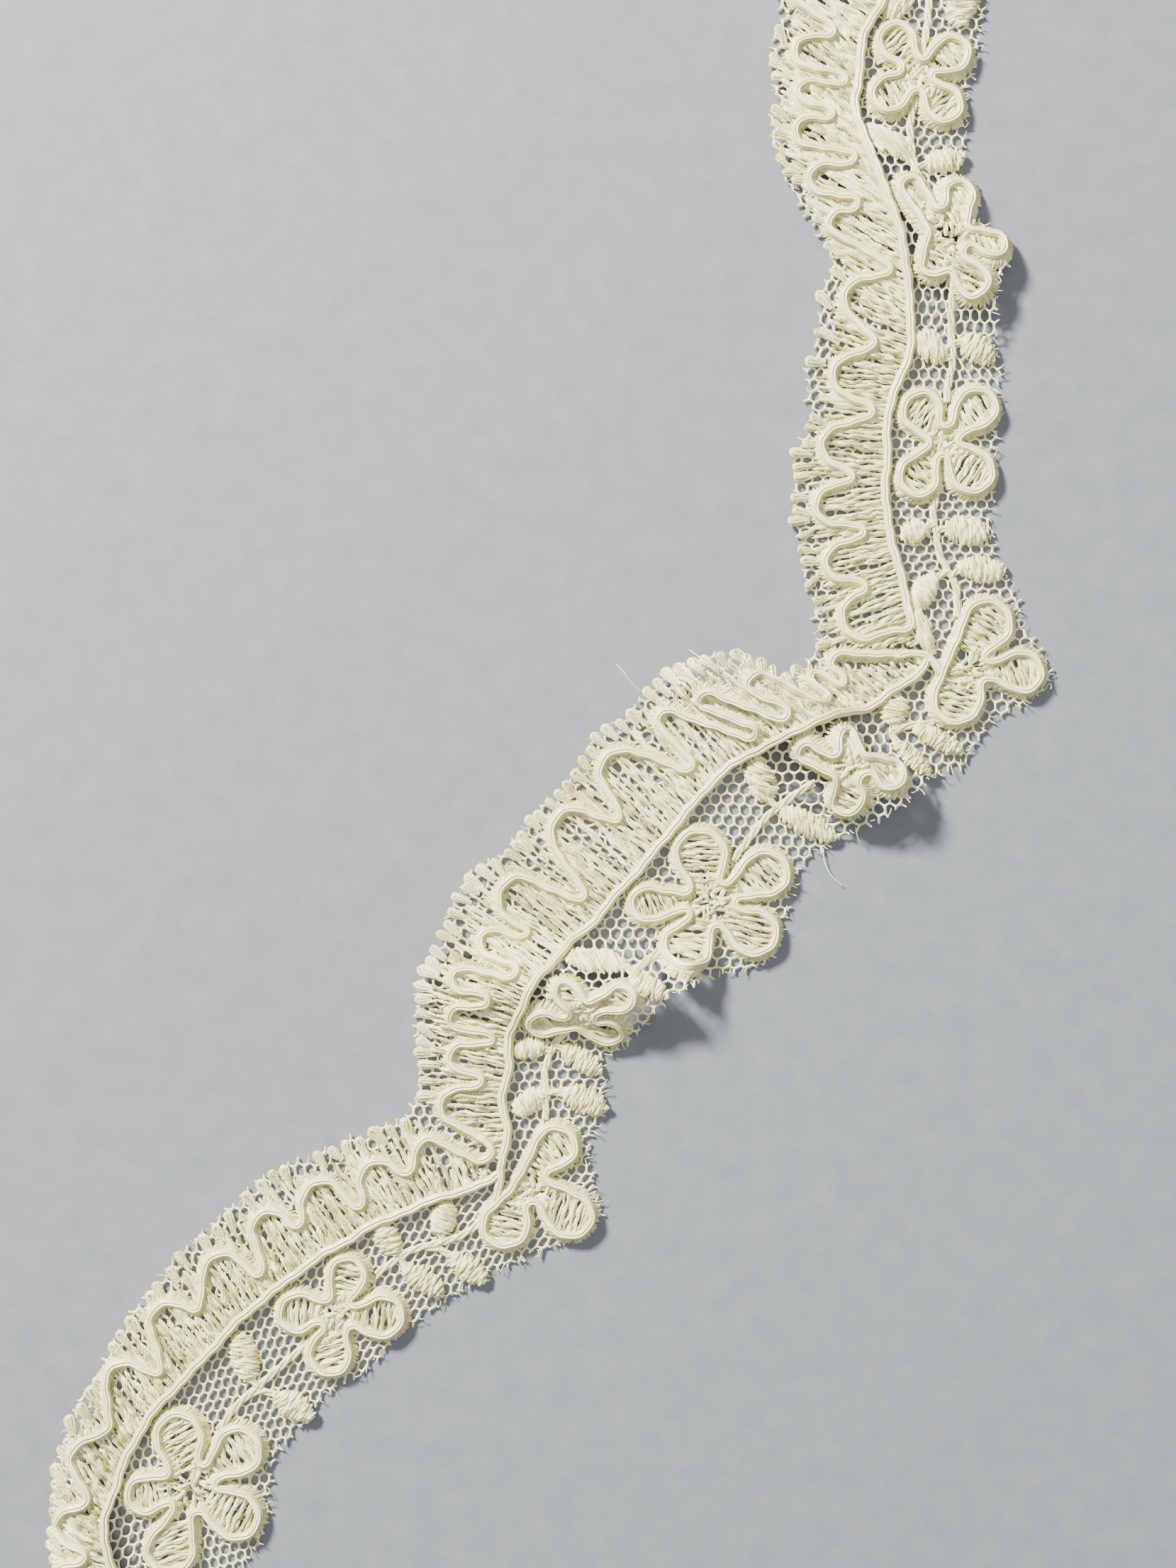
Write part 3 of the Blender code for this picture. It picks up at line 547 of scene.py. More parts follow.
def colour_ramp(tree, source, stops):
    """The colour of a source on a ramp through stops, each a place and a colour."""
    node = new_node(tree, "ValToRGB", {}, {"Fac": source})
    first, *between, last = stops
    for element, (place, colour) in zip(node.color_ramp.elements, (first, last)):
        element.position = place
        element.color = (*colour, 1)
    for place, colour in between:
        node.color_ramp.elements.new(place).color = (*colour, 1)
    return node.outputs["Color"]


def thread_finish(name, low, high, roughness, twist, bump, sheen, lengthwise=False):
    """Ivory thread: a tone of its own for each thread, fine strands that are partly painted glints,
    and a soft sheen.
    A cord's strands run lengthwise, and lines along it are lighter as painted highlights on its
    ridges and darker as painted shade in its grooves and towards its edges."""
    made, tree, shader = new_material(name, {
        "Roughness": roughness,
        "Sheen Weight": sheen,
        "Sheen Roughness": 0.4,
        "Specular IOR Level": 0.6,
    })
    place = new_node(tree, "Attribute", {}, {}, attribute_name="run").outputs["Vector"]
    parts = new_node(tree, "SeparateXYZ", {}, {0: place})
    stretch = (0.45, 9.0, 9.0) if lengthwise else (1.6, 1.4, 9.0)
    stretched = new_node(tree, "Mapping", {"Scale": stretch}, {"Vector": place})
    grain = {"Scale": 1.0, "Detail": 3.0}
    strands = new_node(tree, "TexNoise", grain, {"Vector": stretched.outputs["Vector"]})
    tone = parts.outputs["Z"]
    # A cord's colour across it: painted highlights on its ridges, painted shade in its grooves and
    # towards its edges
    if lengthwise:
        across = scaled_sum(tree, parts.outputs["Y"], 0.5, 0.5)
        tone = colour_ramp(tree, across, [(at, (light,) * 3) for at, light in CORD_PAINTED_LIGHT])
    # The strand noise in the colour is partly fine strand grain and partly painted glints along
    # each thread, stronger on thread than on cord
    mixed = scaled_sum(tree, strands.outputs["Fac"], 0.55 if lengthwise else 0.85, tone)
    colour = colour_ramp(tree, mixed, [(0.25, low), (0.95, high)])
    tree.links.new(colour, shader.inputs["Base Color"])
    turn = {
        "Rotation": (0, 0, math.radians(0 if lengthwise else 32)),
        "Scale": (1.0, 1.0, 0.0),
    }
    slant = new_node(tree, "Mapping", turn, {"Vector": place})
    bands = {"Scale": twist, "Distortion": 1.2, "Detail": 1.0}
    way = "Y" if lengthwise else "X"
    ply = new_node(tree, "TexWave", bands, {"Vector": slant.outputs["Vector"]}, bands_direction=way)
    share = 0.4 if lengthwise else 0.6
    height = scaled_sum(tree, ply.outputs["Fac"], share, strands.outputs["Fac"])
    depth = {"Strength": bump, "Distance": 0.00012}
    relief = new_node(tree, "Bump", depth, {"Height": height})
    tree.links.new(relief.outputs["Normal"], shader.inputs["Normal"])
    return made


net_thread = thread_finish(
    "net_thread", low=(0.68, 0.64, 0.34), high=(0.90, 0.86, 0.50),
    roughness=0.38, twist=0.9, bump=0.3, sheen=0.1,
)
fill_thread = thread_finish(
    "fill_thread", low=(0.38, 0.32, 0.09), high=(1.0, 0.98, 0.54),
    roughness=0.17, twist=0.7, bump=0.9, sheen=0.05,
)
satin_thread = thread_finish(
    "satin_thread", low=(0.46, 0.40, 0.14), high=(0.96, 0.93, 0.50),
    roughness=0.25, twist=0.8, bump=0.7, sheen=0.05,
)
cord_satin = thread_finish(
    "cord_satin", low=(0.50, 0.44, 0.17), high=(1.0, 0.98, 0.58),
    roughness=0.26, twist=2.4, bump=0.4, sheen=0.1, lengthwise=True,
)


# The three arcs of the band

def arc_lines():
    """For each arc its spine, with its ends drawn to the cusps, and the outer edge beside it."""
    cusps = [(np.array(notch), np.array(point)) for notch, point in CUSPS]
    cuts = [int(np.argmin(distance_from(outer_line, notch))) for notch, _ in cusps]
    outer = {
        "a": outer_line[:cuts[0] + 1],
        "b": outer_line[cuts[0]:cuts[1] + 1],
        "c": outer_line[cuts[1]:],
    }
    spine = {
        "a": np.vstack([smooth_through(SPINES["a"]), cusps[0][1]]),
        "b": np.vstack([cusps[0][1], smooth_through(SPINES["b"]), cusps[1][1]]),
        "c": np.vstack([cusps[1][1], smooth_through(SPINES["c"])]),
    }
    return spine, outer


spine_lines, outer_lines = arc_lines()


def band_region(key):
    """The outline of the worked band along one arc."""
    return np.vstack([spine_lines[key], outer_lines[key][::-1]])


def under_band(points):
    """Which points of the net lie under the worked band."""
    found = np.zeros(len(points), bool)
    for key in "abc":
        found |= inside(points, band_region(key))
    return found


def band_angle(points, key):
    """The direction of the band's threads at each point, from the lobes of that arc."""
    heads = [*SCALLOPS[key]["lobes"], SCALLOPS[key]["last_head"]]
    where = np.array([head[:2] for head in heads])
    angle = np.array([head[-1] for head in heads], float)
    far = np.sum((points[:, None] - where) ** 2, -1)
    weight = np.exp(-far / 40) + 1e-9
    return np.radians(np.sum(weight * angle, 1) / np.sum(weight, 1))


# The net

NET_PITCH = 1.375
# Down the strip: y, the distance from row to row, the lean of the rows in degrees, and how
# narrow the hexagons are beside NET_PITCH
NET_ROWS = (
    (100.0, 1.25, 0, 0.98), (82.0, 1.15, 0, 0.98), (70.0, 1.15, 0, 0.93), (60.0, 1.34, 0, 0.78),
    (52.0, 1.32, 0, 0.80), (46.0, 1.20, 0, 0.94), (34.0, 1.00, 0, 0.96), (26.0, 1.05, 0, 0.98),
    (18.0, 1.22, 0, 1.0), (-12.0, 1.22, 0, 1.0), (-24.0, 1.10, 0, 0.97), (-44.0, 1.20, 4, 0.90),
    (-56.0, 1.20, 10, 0.87), (-75.0, 1.20, 12, 0.82), (-99.0, 1.22, 14, 0.82),
)
NET_COLUMNS = np.arange(-160, 130)
NET_RISE = 0.40
NET_RAISE = -0.42
NET_WANDER = 0.10
NET_UNEVEN = 0.035
USUAL_ROW_PITCH = 1.27
STRAND_WIDTH = 0.25
STRAND_FLARE = 1.6
STRAND_THICK = 0.24
UPRIGHT_WIDTH = 1.12
CUT_END_WIDTH = 0.4
OPEN_STEPS = (0.0, 0.32, 0.68, 1.0)
COVERED_STEPS = (0.0, 0.5, 1.0)


def net_nodes():
    """The corners of the net's hexagons as a grid: zigzag rows, leaning as the net does."""
    middle = (outer_line[::3][:len(inner_line[::3])] + inner_line[::3]) / 2
    path, _ = even_steps(middle, 0.25)
    path = path[np.argsort(-path[:, 1], kind="stable")]
    level, pitches, leans, narrow = np.array(NET_ROWS)[::-1].T
    pitch = np.interp(path[:, 1], level, pitches)
    lean = np.radians(np.interp(path[:, 1], level, leans))
    step = np.diff(path, axis=0)
    row_way = toward(lean)[1:]
    down = -np.sum(step * left_of(row_way), 1) / pitch[1:]
    sideways = np.sum(step * row_way, 1)
    row_at = np.concatenate([[0.0], np.cumsum(down)])
    shift_at = path[0, 0] + np.concatenate([[0.0], np.cumsum(sideways)])
    number = np.arange(int(row_at[-1]))[:, None]
    centre_x = np.interp(number, row_at, path[:, 0])
    centre_y = np.interp(number, row_at, path[:, 1])
    shift = np.interp(number, row_at, shift_at)
    row_lean = np.interp(number, row_at, lean)
    rise = NET_RISE * (np.interp(number, row_at, pitch) / USUAL_ROW_PITCH)
    low = (NET_COLUMNS + number) % 2 == 1
    x = (NET_COLUMNS * NET_PITCH / 2 - shift) * np.interp(centre_y, level, narrow)
    y = np.where(low, -0.5, 0.5) * rise
    cos = np.cos(row_lean)
    sin = np.sin(row_lean)
    nodes = np.stack([centre_x + x * cos - y * sin, centre_y + x * sin + y * cos], -1)
    wander = np.stack([
        NET_WANDER * np.sin(nodes[..., 1] * 0.9 + nodes[..., 0] * 0.35),
        NET_WANDER * np.sin(nodes[..., 0] * 0.8 - nodes[..., 1] * 0.5),
    ], -1)
    return nodes + wander + rng.normal(0, NET_UNEVEN, nodes.shape), low


def strand_ends():
    """Both ends of each strand of the net, and whether it stands upright between two rows and
    whether it is cut at the edge of the strip."""
    nodes, low = net_nodes()
    kept = inside(nodes, strip)
    found = []
    along_row = (np.s_[:, :-1], np.s_[:, 1:], False)
    row_to_row = (np.s_[:-1], np.s_[1:], True)
    for here, there, upright in (along_row, row_to_row):
        first, second = nodes[here], nodes[there]
        first_in, second_in = kept[here], kept[there]
        wanted = low[here] | (not upright)
        whole = wanted & first_in & second_in
        found.append((first[whole], second[whole], upright, False))
        out = wanted & first_in & ~second_in
        back = wanted & second_in & ~first_in
        for inner, outer in ((first[out], second[out]), (second[back], first[back])):
            part = rng.uniform(0.25, 1.0, len(inner))[:, None]
            end = inner + (outer - inner) * part + rng.normal(0, 0.1, inner.shape)
            found.append((inner, end, upright, True))
    first = np.vstack([group[0] for group in found])
    second = np.vstack([group[1] for group in found])
    upright = np.concatenate([np.full(len(group[0]), group[2]) for group in found])
    is_cut = np.concatenate([np.full(len(group[0]), group[3]) for group in found])
    return first, second, upright, is_cut


def net_shape():
    """The net's strands, its cut ends among them. Those under the band have fewer steps."""
    first, second, upright, is_cut = strand_ends()
    bow = rng.normal(0, 0.02, first.shape)
    thread = STRAND_WIDTH * rng.uniform(0.85, 1.15, len(first))
    thread = thread * np.where(upright, UPRIGHT_WIDTH, 1.0)
    covered = under_band((first + second) / 2)
    shapes = []
    for group, places in ((~covered, OPEN_STEPS), (covered, COVERED_STEPS)):
        t = np.array(places)
        between = (t > 0) & (t < 1)
        lines = first[group][:, None] * (1 - t)[:, None] + second[group][:, None] * t[:, None]
        lines = lines + bow[group][:, None] * between[:, None]
        width = thread[group][:, None] * np.where(between, 1.0, STRAND_FLARE)
        width[:, -1] *= np.where(is_cut[group], CUT_END_WIDTH, 1.0)
        arch = np.where(upright[group], 0.05, -0.01)[:, None] * between
        raise_by = NET_RAISE + rng.normal(0, 0.015, width.shape) + arch
        thick = np.full(width.shape, STRAND_THICK)
        tone = rng.uniform(0.1, 0.6, len(lines))
        shapes.append(swept(lines, raise_by, width, thick, FLAT, tone))
    return joined(shapes)


# The band between the spine and the outer edge

BAND_STEPS = 22
BAND_SPACINGS = (0.50, 0.74)
LONGEST_BAND_THREAD = 20.0


def march(starts, direction, region, reach, step=0.12):
    """How far each start can go in its direction and stay inside the region."""
    at = np.arange(step, reach, step)
    points = starts[:, None] + direction[:, None] * at[None, :, None]
    out = ~inside(points, region)
    first = np.where(out.any(1), out.argmax(1), len(at) - 1)
    return at[first] - step


def wavy(start, end, steps, sway, waves):
    """Lines from start to end with steps points, each swaying a little its own way."""
    t = np.linspace(0, 1, steps)
    run = end - start
    line = start[:, None] + run[:, None] * t[None, :, None]
    length = np.maximum(np.linalg.norm(run, axis=1), 1e-6)[:, None]
    side = left_of(run) / length
    count = len(start)
    phase = rng.uniform(0, 2 * math.pi, (count, 2))
    often = rng.uniform(0.7, 1.4, (count, 2)) * waves
    swing = np.sin(t[None] * often[:, :1] * length + phase[:, :1])
    swing = swing + 0.5 * np.sin(t[None] * often[:, 1:] * 2.1 * length + phase[:, 1:])
    ends = np.clip(np.minimum(t, 1 - t) * 6, 0, 1)
    return line + side[:, None] * (swing * sway * ends[None])[..., None]


def twist_width(lines, low, high):
    """Widths along lines of thread, thick and thin by turns as the twist of its strands shows."""
    count, steps = lines.shape[:2]
    length = np.linalg.norm(lines[:, -1] - lines[:, 0], axis=1)[:, None]
    t = np.linspace(0, 1, steps)[None]
    often = rng.uniform(2.2, 3.4, (count, 1))
    turn = np.sin(t * length * often + rng.uniform(0, 2 * math.pi, (count, 1)))
    return rng.uniform(low, high, (count, 1)) * (1 + 0.26 * turn)


def band_shape():
    """The threads laid across the band, in two layers, the upper one wider apart and shorter."""
    shapes = []
    t = np.linspace(0, 1, BAND_STEPS)
    for key in "abc":
        for layer, spacing in enumerate(BAND_SPACINGS):
            starts, _ = even_steps(spine_lines[key], spacing)
            starts = starts + rng.normal(0, 0.06, starts.shape)
            angle = band_angle(starts, key) + rng.normal(0, 0.045, len(starts))
            angle += 0.05 * np.sin(np.arange(len(starts)) * 0.55 + layer * 2.0)
            way = -toward(angle)
            reach = march(starts + way * 0.25, way, band_region(key), LONGEST_BAND_THREAD)
            good = reach > 1.2
            starts, way, reach = starts[good], way[good], reach[good]
            length = reach - rng.uniform(0.8, 1.9, len(reach))
            if layer == 1:
                length = length * rng.uniform(0.3, 0.95, len(reach))
            ends = starts + way * np.maximum(length, 0.8)[:, None]
            lines = wavy(starts, ends, BAND_STEPS, 0.10, 1.3)
            width = twist_width(lines, 0.33, 0.44)
            width[:, -1] *= 0.6
            lift = 0.02 + layer * 0.20 + 0.06 * np.sin(t * math.pi)
            raise_by = lift + 0.09 * np.sin(t * 16 + rng.uniform(0, 6.28, (len(lines), 1)))
            shapes.append(stitches(lines, raise_by, width, 0.85, (-0.1, 0.85)))
    return joined(shapes)


# Loops along the outer edge

TONGUE_PITCH = {"a": 1.6, "b": 1.6, "c": 1.85}
TONGUE_UNEVEN = {"a": 0.9, "b": 0.25, "c": 0.4}
TONGUE_REACH = 0.35
USUAL_TONGUE_PITCH = 1.6
# The radius and the thread's width of the outer loop of a tongue and of the one within it
TONGUE_RINGS = ((0.46, 0.31), (0.18, 0.33))
# Along a loop: how far down its leg, how narrow the leg is, the turn at the tip and the bulge
LEG_DOWN = np.linspace(-1, -0.25, 4)
LEG_SIDE = np.linspace(0.45, 0.95, 4)
TIP_TURN = np.linspace(-math.pi / 2, math.pi / 2, 7)
LOOP_SIDE = np.concatenate([-LEG_SIDE, np.sin(TIP_TURN), LEG_SIDE[::-1]])
LOOP_BULGE = np.concatenate([np.linspace(0.0, 1, 4), np.ones(7), np.linspace(1, 0.0, 4)])


def tongue_places(key):
    """Where the loops along one arc stand and which way each points out."""
    uneven = TONGUE_UNEVEN[key]
    points, direction = even_steps(outer_lines[key], TONGUE_PITCH[key])
    points = points[1:-1] + rng.normal(0, 0.10 + 0.22 * uneven, (len(points) - 2, 2))
    there = rng.random(len(points)) > 0.16 * uneven
    points = points[there]
    inward = left_of(direction[1:-1][there])
    angle = band_angle(points, key) + rng.normal(0, 0.08 + 0.32 * uneven, len(points))
    out = -toward(angle)
    facing = np.sum(out * -inward, 1)
    out = np.where((facing < 0.45)[:, None], -inward * 0.75 + out * 0.65, out)
    return points, out / np.linalg.norm(out, axis=1, keepdims=True)


def tongue_shape():
    """The rounded loops of thread that stand out along the outer edge, one within the other."""
    shapes = []
    for key in "abc":
        uneven = TONGUE_UNEVEN[key]
        points, out = tongue_places(key)
        side = left_of(out)
        count = len(points)
        setback = rng.uniform(0.0, 0.25 + 0.4 * uneven, count)
        size = rng.uniform(0.95 - 0.35 * uneven, 1.15, count)
        for radius, width in TONGUE_RINGS:
            r = radius * size * TONGUE_PITCH[key] / USUAL_TONGUE_PITCH
            tip = points + out * (TONGUE_REACH - setback - r - (0.46 - radius) * 0.6)[:, None]
            legs = rng.uniform(1.5, 2.3, (count, 1)) * LEG_DOWN
            along = np.concatenate([legs, np.cos(TIP_TURN) * r[:, None], legs[:, ::-1]], 1)
            across = LOOP_SIDE * r[:, None]
            lines = tip[:, None] + out[:, None] * along[..., None]
            lines = lines + side[:, None] * across[..., None]
            lines = lines + rng.normal(0, 0.015 + 0.03 * uneven, lines.shape)
            crown = rng.uniform(0.12, 0.28, (count, 1)) + (0.42 - radius) * 0.6
            raise_by = -0.14 + LOOP_BULGE * crown
            wide = np.full(raise_by.shape, width) * size[:, None]
            shapes.append(stitches(lines, raise_by, wide, 0.9, (0.2, 0.8)))
    return joined(shapes)


# Cords

TURN_RADIUS = 0.75
CORD_STEP = 0.34
CORD_RAISE = 0.44
SPINE_CORD_WIDTH = 1.10
PATTERN_CORD_WIDTH = 1.00
CORD_HEIGHT = 0.58
CORD_PROFILE = (
    (-0.94, 0.00), (-1.00, 0.26), (-0.88, 0.48), (-0.70, 0.58), (-0.60, 0.78), (-0.46, 0.97),
    (-0.30, 1.00), (-0.14, 0.84), (-0.04, 0.56), (0.04, 0.56), (0.14, 0.84), (0.30, 1.00),
    (0.46, 0.97), (0.60, 0.78), (0.70, 0.58), (0.88, 0.48), (1.00, 0.26), (0.94, 0.00),
)
CORD_TONE = 0.35
SLOW_WAVE = 7
QUICK_WAVE = 2.6


def run_between(first, second):
    """The straight run that leaves one peg and meets the next, the cord turning by each sign."""
    x, y, radius, sign = first
    next_x, next_y, next_radius, next_sign = second
    part = (sign * radius - next_sign * next_radius) / math.hypot(next_x - x, next_y - y)
    angle = math.atan2(next_y - y, next_x - x) - math.asin(max(-1.0, min(1.0, part)))
    normal = left_of(toward(angle))
    leaves = np.array([x, y]) + normal * sign * radius
    meets = np.array([next_x, next_y]) + normal * next_sign * next_radius
    return leaves, meets


def round_peg(peg, start, end):
    """Points of the cord's arc round a peg, from where it arrives to where it leaves."""
    x, y, radius, sign = peg
    first = math.atan2(start[1] - y, start[0] - x)
    last = math.atan2(end[1] - y, end[0] - x)
    turn = (first - last) * sign % (2 * math.pi)
    parts = max(1, math.ceil(turn / 0.25))
    angle = first - sign * turn * np.arange(parts + 1) / parts
    return np.array([x, y]) + toward(angle) * radius


def laced(pegs, closed):
    """The line of a cord pulled round pegs. A peg is x, y, radius and 1 for clockwise or -1."""
    after = pegs[1:] + pegs[:1] if closed else pegs[1:]
    runs = [run_between(*pair) for pair in zip(pegs, after)]
    points = []
    for i, peg in enumerate(pegs):
        if closed or 0 < i < len(pegs) - 1:
            points.append(round_peg(peg, runs[i - 1][1], runs[i][0]))
        else:
            points.append(np.array([peg[:2]]))
    return np.vstack(points)


def scallop_line(key):
    """The line of the winding cord along one arc."""
    scallop = SCALLOPS[key]
    pegs = [(*scallop["start"], 0.0, -1)]
    for head_x, head_y, head_r, valley_x, valley_y, _ in scallop["lobes"]:
        pegs.append((head_x, head_y, head_r, -1))
        pegs.append((valley_x, valley_y, TURN_RADIUS, 1))
    pegs.append((*scallop["last_head"][:3], -1))
    pegs.append((*scallop["end"], 0.0, -1))
    return laced(pegs, False)


def flattened(number, points):
    """Points of a flower where they show when it lies on a slope."""
    points = np.array(points, float)
    if number in SLOPING_FLOWERS:
        level, share = SLOPING_FLOWERS[number]
        points[..., 1] = level + (points[..., 1] - level) * share
    return points


def flower_line(number):
    """The closed line of a flower's cord, round its petals and their turns."""
    pegs = []
    for petal_x, petal_y, petal_r, turn_x, turn_y, _ in FLOWERS[number]:
        pegs.append((petal_x, petal_y, petal_r, 1))
        pegs.append((turn_x, turn_y, TURN_RADIUS, -1))
    return flattened(number, laced(pegs, True))


def eased(line, closed, times=3):
    """A line of even steps with its sudden changes of bend softened."""
    for _ in range(times):
        before = np.roll(line, 1, axis=0)
        after = np.roll(line, -1, axis=0)
        soft = line * 0.5 + (before + after) * 0.25
        if not closed:
            soft[0] = line[0]
            soft[-1] = line[-1]
        line = soft
    return line


def cord_shape(line, closed, cord_width):
    """A padded cord with lengthwise ridges, sewn along a line."""
    if closed:
        line = np.vstack([line, line[:1]])
    points, _ = even_steps(line, CORD_STEP)
    if closed:
        points = points[:-1]
    points = eased(points, closed)
    count = len(points)
    k = np.arange(count)
    to_end = np.minimum(k, count - 1 - k)
    around = 2 * math.pi * k / count
    slow = max(1, round(count * CORD_STEP / SLOW_WAVE)) * around
    quick = max(1, round(count * CORD_STEP / QUICK_WAVE)) * around
    waves = rng.uniform(0, 2 * math.pi, 6)
    direction = np.gradient(points, axis=0)
    direction /= np.linalg.norm(direction, axis=1, keepdims=True)
    sway = 0.07 * np.sin(slow + waves[4]) + 0.05 * np.sin(quick + waves[5])
    width = cord_width * (1 + 0.04 * np.sin(slow + waves[0]) + 0.02 * np.sin(quick + waves[1]))
    height = CORD_HEIGHT * (1 + 0.05 * np.sin(slow + waves[2]) + 0.03 * np.sin(quick + waves[3]))
    if not closed:
        sway = sway * np.clip(to_end / 6, 0, 1)
        ends = np.clip(to_end / 2, 0, 1) ** 0.5
        width = width * (0.75 + 0.25 * ends)
        height = height * (0.75 + 0.25 * ends)
    points = points + left_of(direction) * sway[:, None]
    return swept_once(points, CORD_RAISE, width, height, CORD_PROFILE, CORD_TONE, closed)


# Borders of stitches along the cords

BED_PROFILE = ((-1.0, 0.0), (-0.80, 0.52), (-0.42, 0.92), (0.42, 0.92), (0.80, 0.52), (1.0, 0.0))
BED_RAISE = -0.34
BED_HEIGHT = 0.66
BED_TONE = 0.25
BED_INSET = 0.14
RIM_LEANS = (0.95, 0.50)
RIM_STEPS = 6
RIM_STITCH_WIDTH = 0.30
# How far a border reaches to the right and to the left of its cord's line
SCALLOP_RIM_REACH = (0.86, 0.88)
FLOWER_RIM_REACH = (0.78, 0.76)
WIDER_RIM_REACH = {2: (0.90, 1.10), 5: (0.9, 1.10), 7: (0.85, 0.92)}
SCALLOP_RIM_SPACING = 0.33
FLOWER_RIM_SPACING = 0.26


def bed_shape(line, closed, half_in, half_out):
    """The low padded bed under a cord, a little wider than the cord."""
    points, direction = even_steps(line, CORD_STEP)
    if closed:
        points = points[:-1]
        direction = direction[:-1]
    points = eased(points, closed) + left_of(direction) * (half_out - half_in) / 2
    count = len(points)
    around = 2 * math.pi * np.arange(count) / count
    breath = 1 + 0.05 * np.sin(around * round(count / 9)) + 0.03 * np.sin(around * round(count / 4))
    width = (half_in + half_out - BED_INSET) * breath
    return swept_once(points, BED_RAISE, width, BED_HEIGHT, BED_PROFILE, BED_TONE, closed)


def rim_shape(line, closed, spacing, half_in, half_out):
    """A cord's padded bed and the fine slanted stitches over it, in two layers, which show as
    a dull border along both sides of the cord."""
    if closed:
        line = np.vstack([line, line[:1]])
    shapes = [bed_shape(line, closed, half_in, half_out)]
    bulge = 0.80 * (1 - np.linspace(-1, 1, RIM_STEPS) ** 2)[None] ** 0.7
    for lean in RIM_LEANS:
        points, direction = even_steps(line, spacing)
        points = points + rng.normal(0, 0.03, points.shape)
        side = left_of(direction)
        count = len(points)
        left = side * (rng.uniform(0.93, 1.03, (count, 1)) * half_out)
        right = side * (rng.uniform(0.93, 1.03, (count, 1)) * half_in)
        skew = direction * rng.normal(lean, 0.12, (count, 1))
        lines = wavy(points + left + skew, points - right - skew, RIM_STEPS, 0.05, 2.4)
        raise_by = -0.44 + bulge + rng.normal(0, 0.03, (count, RIM_STEPS))
        width = np.full((count, RIM_STEPS), RIM_STITCH_WIDTH) * rng.uniform(0.85, 1.2, (count, 1))
        width[:, [0, -1]] *= 0.8
        shapes.append(stitches(lines, raise_by, width, 0.7, (0.05, 0.7), FLAT))
    return joined(shapes)


# Flowers

PETAL_SPACINGS = (0.52, 0.85)
PETAL_STEPS = 12
MIDDLE_STITCHES = 46
MIDDLE_STEPS = 7


def petal_fill(centre, radius, thread, line):
    """The threads across one petal in two layers, inside the flower's line."""
    shapes = []
    t = np.linspace(0, 1, PETAL_STEPS)
    for layer, spacing in enumerate(PETAL_SPACINGS):
        along = toward(math.radians(thread) + rng.normal(0, 0.06) + layer * 0.16)
        offset = np.arange(-radius, radius, spacing) + rng.uniform(-0.12, 0.12)
        feet = centre + left_of(along) * offset[:, None]
        feet = feet[inside(feet, line)]
        way = np.broadcast_to(along, feet.shape)
        ahead = np.minimum(march(feet, way, line, radius * 1.5), radius * 1.15)
        behind = np.minimum(march(feet, -way, line, radius * 1.5), radius * 1.15)
        good = ahead + behind > 0.9
        feet, ahead, behind = feet[good], ahead[good], behind[good]
        end = feet + along * ahead[:, None] + rng.normal(0, 0.16, feet.shape)
        start = feet - along * behind[:, None] + rng.normal(0, 0.16, feet.shape)
        lines = wavy(start, end, PETAL_STEPS, 0.10, 1.6)
        width = twist_width(lines, 0.34, 0.46)
        lift = 0.02 + layer * 0.18 + 0.10 * np.sin(t * math.pi)
        raise_by = lift + rng.normal(0, 0.04, (len(lines), 1))
        shapes.append(stitches(lines, raise_by, width, 0.85, (-0.05, 0.85)))
    return joined(shapes)


def middle_shape(turns):
    """The short stitches about a flower's middle, between its turns."""
    middle = turns.mean(0)
    reach = distance_from(turns, middle).mean()
    count = MIDDLE_STITCHES
    angle = rng.uniform(0, 2 * math.pi, count)
    place = middle + toward(angle) * (reach * rng.uniform(0.15, 1.0, (count, 1)))
    angle = angle + rng.normal(0, 0.55, count)
    way = toward(angle) * rng.uniform(0.45, 0.85, (count, 1))
    lines = wavy(place - way, place + way, MIDDLE_STEPS, 0.07, 2.2)
    width = twist_width(lines, 0.36, 0.50)
    arch = 0.36 * np.sin(np.linspace(0, 1, MIDDLE_STEPS) * math.pi)
    raise_by = -0.10 + arch + rng.normal(0, 0.06, (count, 1))
    return stitches(lines, raise_by, width, 0.8, (0.1, 0.8))


def petal_shape(number, line):
    """The threads across a flower's petals and the stitches about its middle."""
    shapes = []
    turns = []
    for petal_x, petal_y, petal_r, turn_x, turn_y, thread in FLOWERS[number]:
        centre = flattened(number, (petal_x, petal_y))
        turns.append(flattened(number, (turn_x, turn_y)))
        shapes.append(petal_fill(centre, petal_r + 1.0, thread, line))
    shapes.append(middle_shape(np.array(turns)))
    return joined(shapes)


# Leaves and stems

LEAF_HALF = 0.58
LEAF_WIDE = 0.95
LEAF_CENTRE = 0.54
LEAF_SPACING = 0.33
LEAF_STEPS = 10
LEAF_CROWN = 0.62
STEM_STRANDS = 3
STEM_STEP = 0.5
STEM_TWIST = 1.15


def leaf_ends(leaf):
    """A leaf's end at the stem and its tip."""
    return np.array(leaf[:2]), np.array(leaf[2:4])


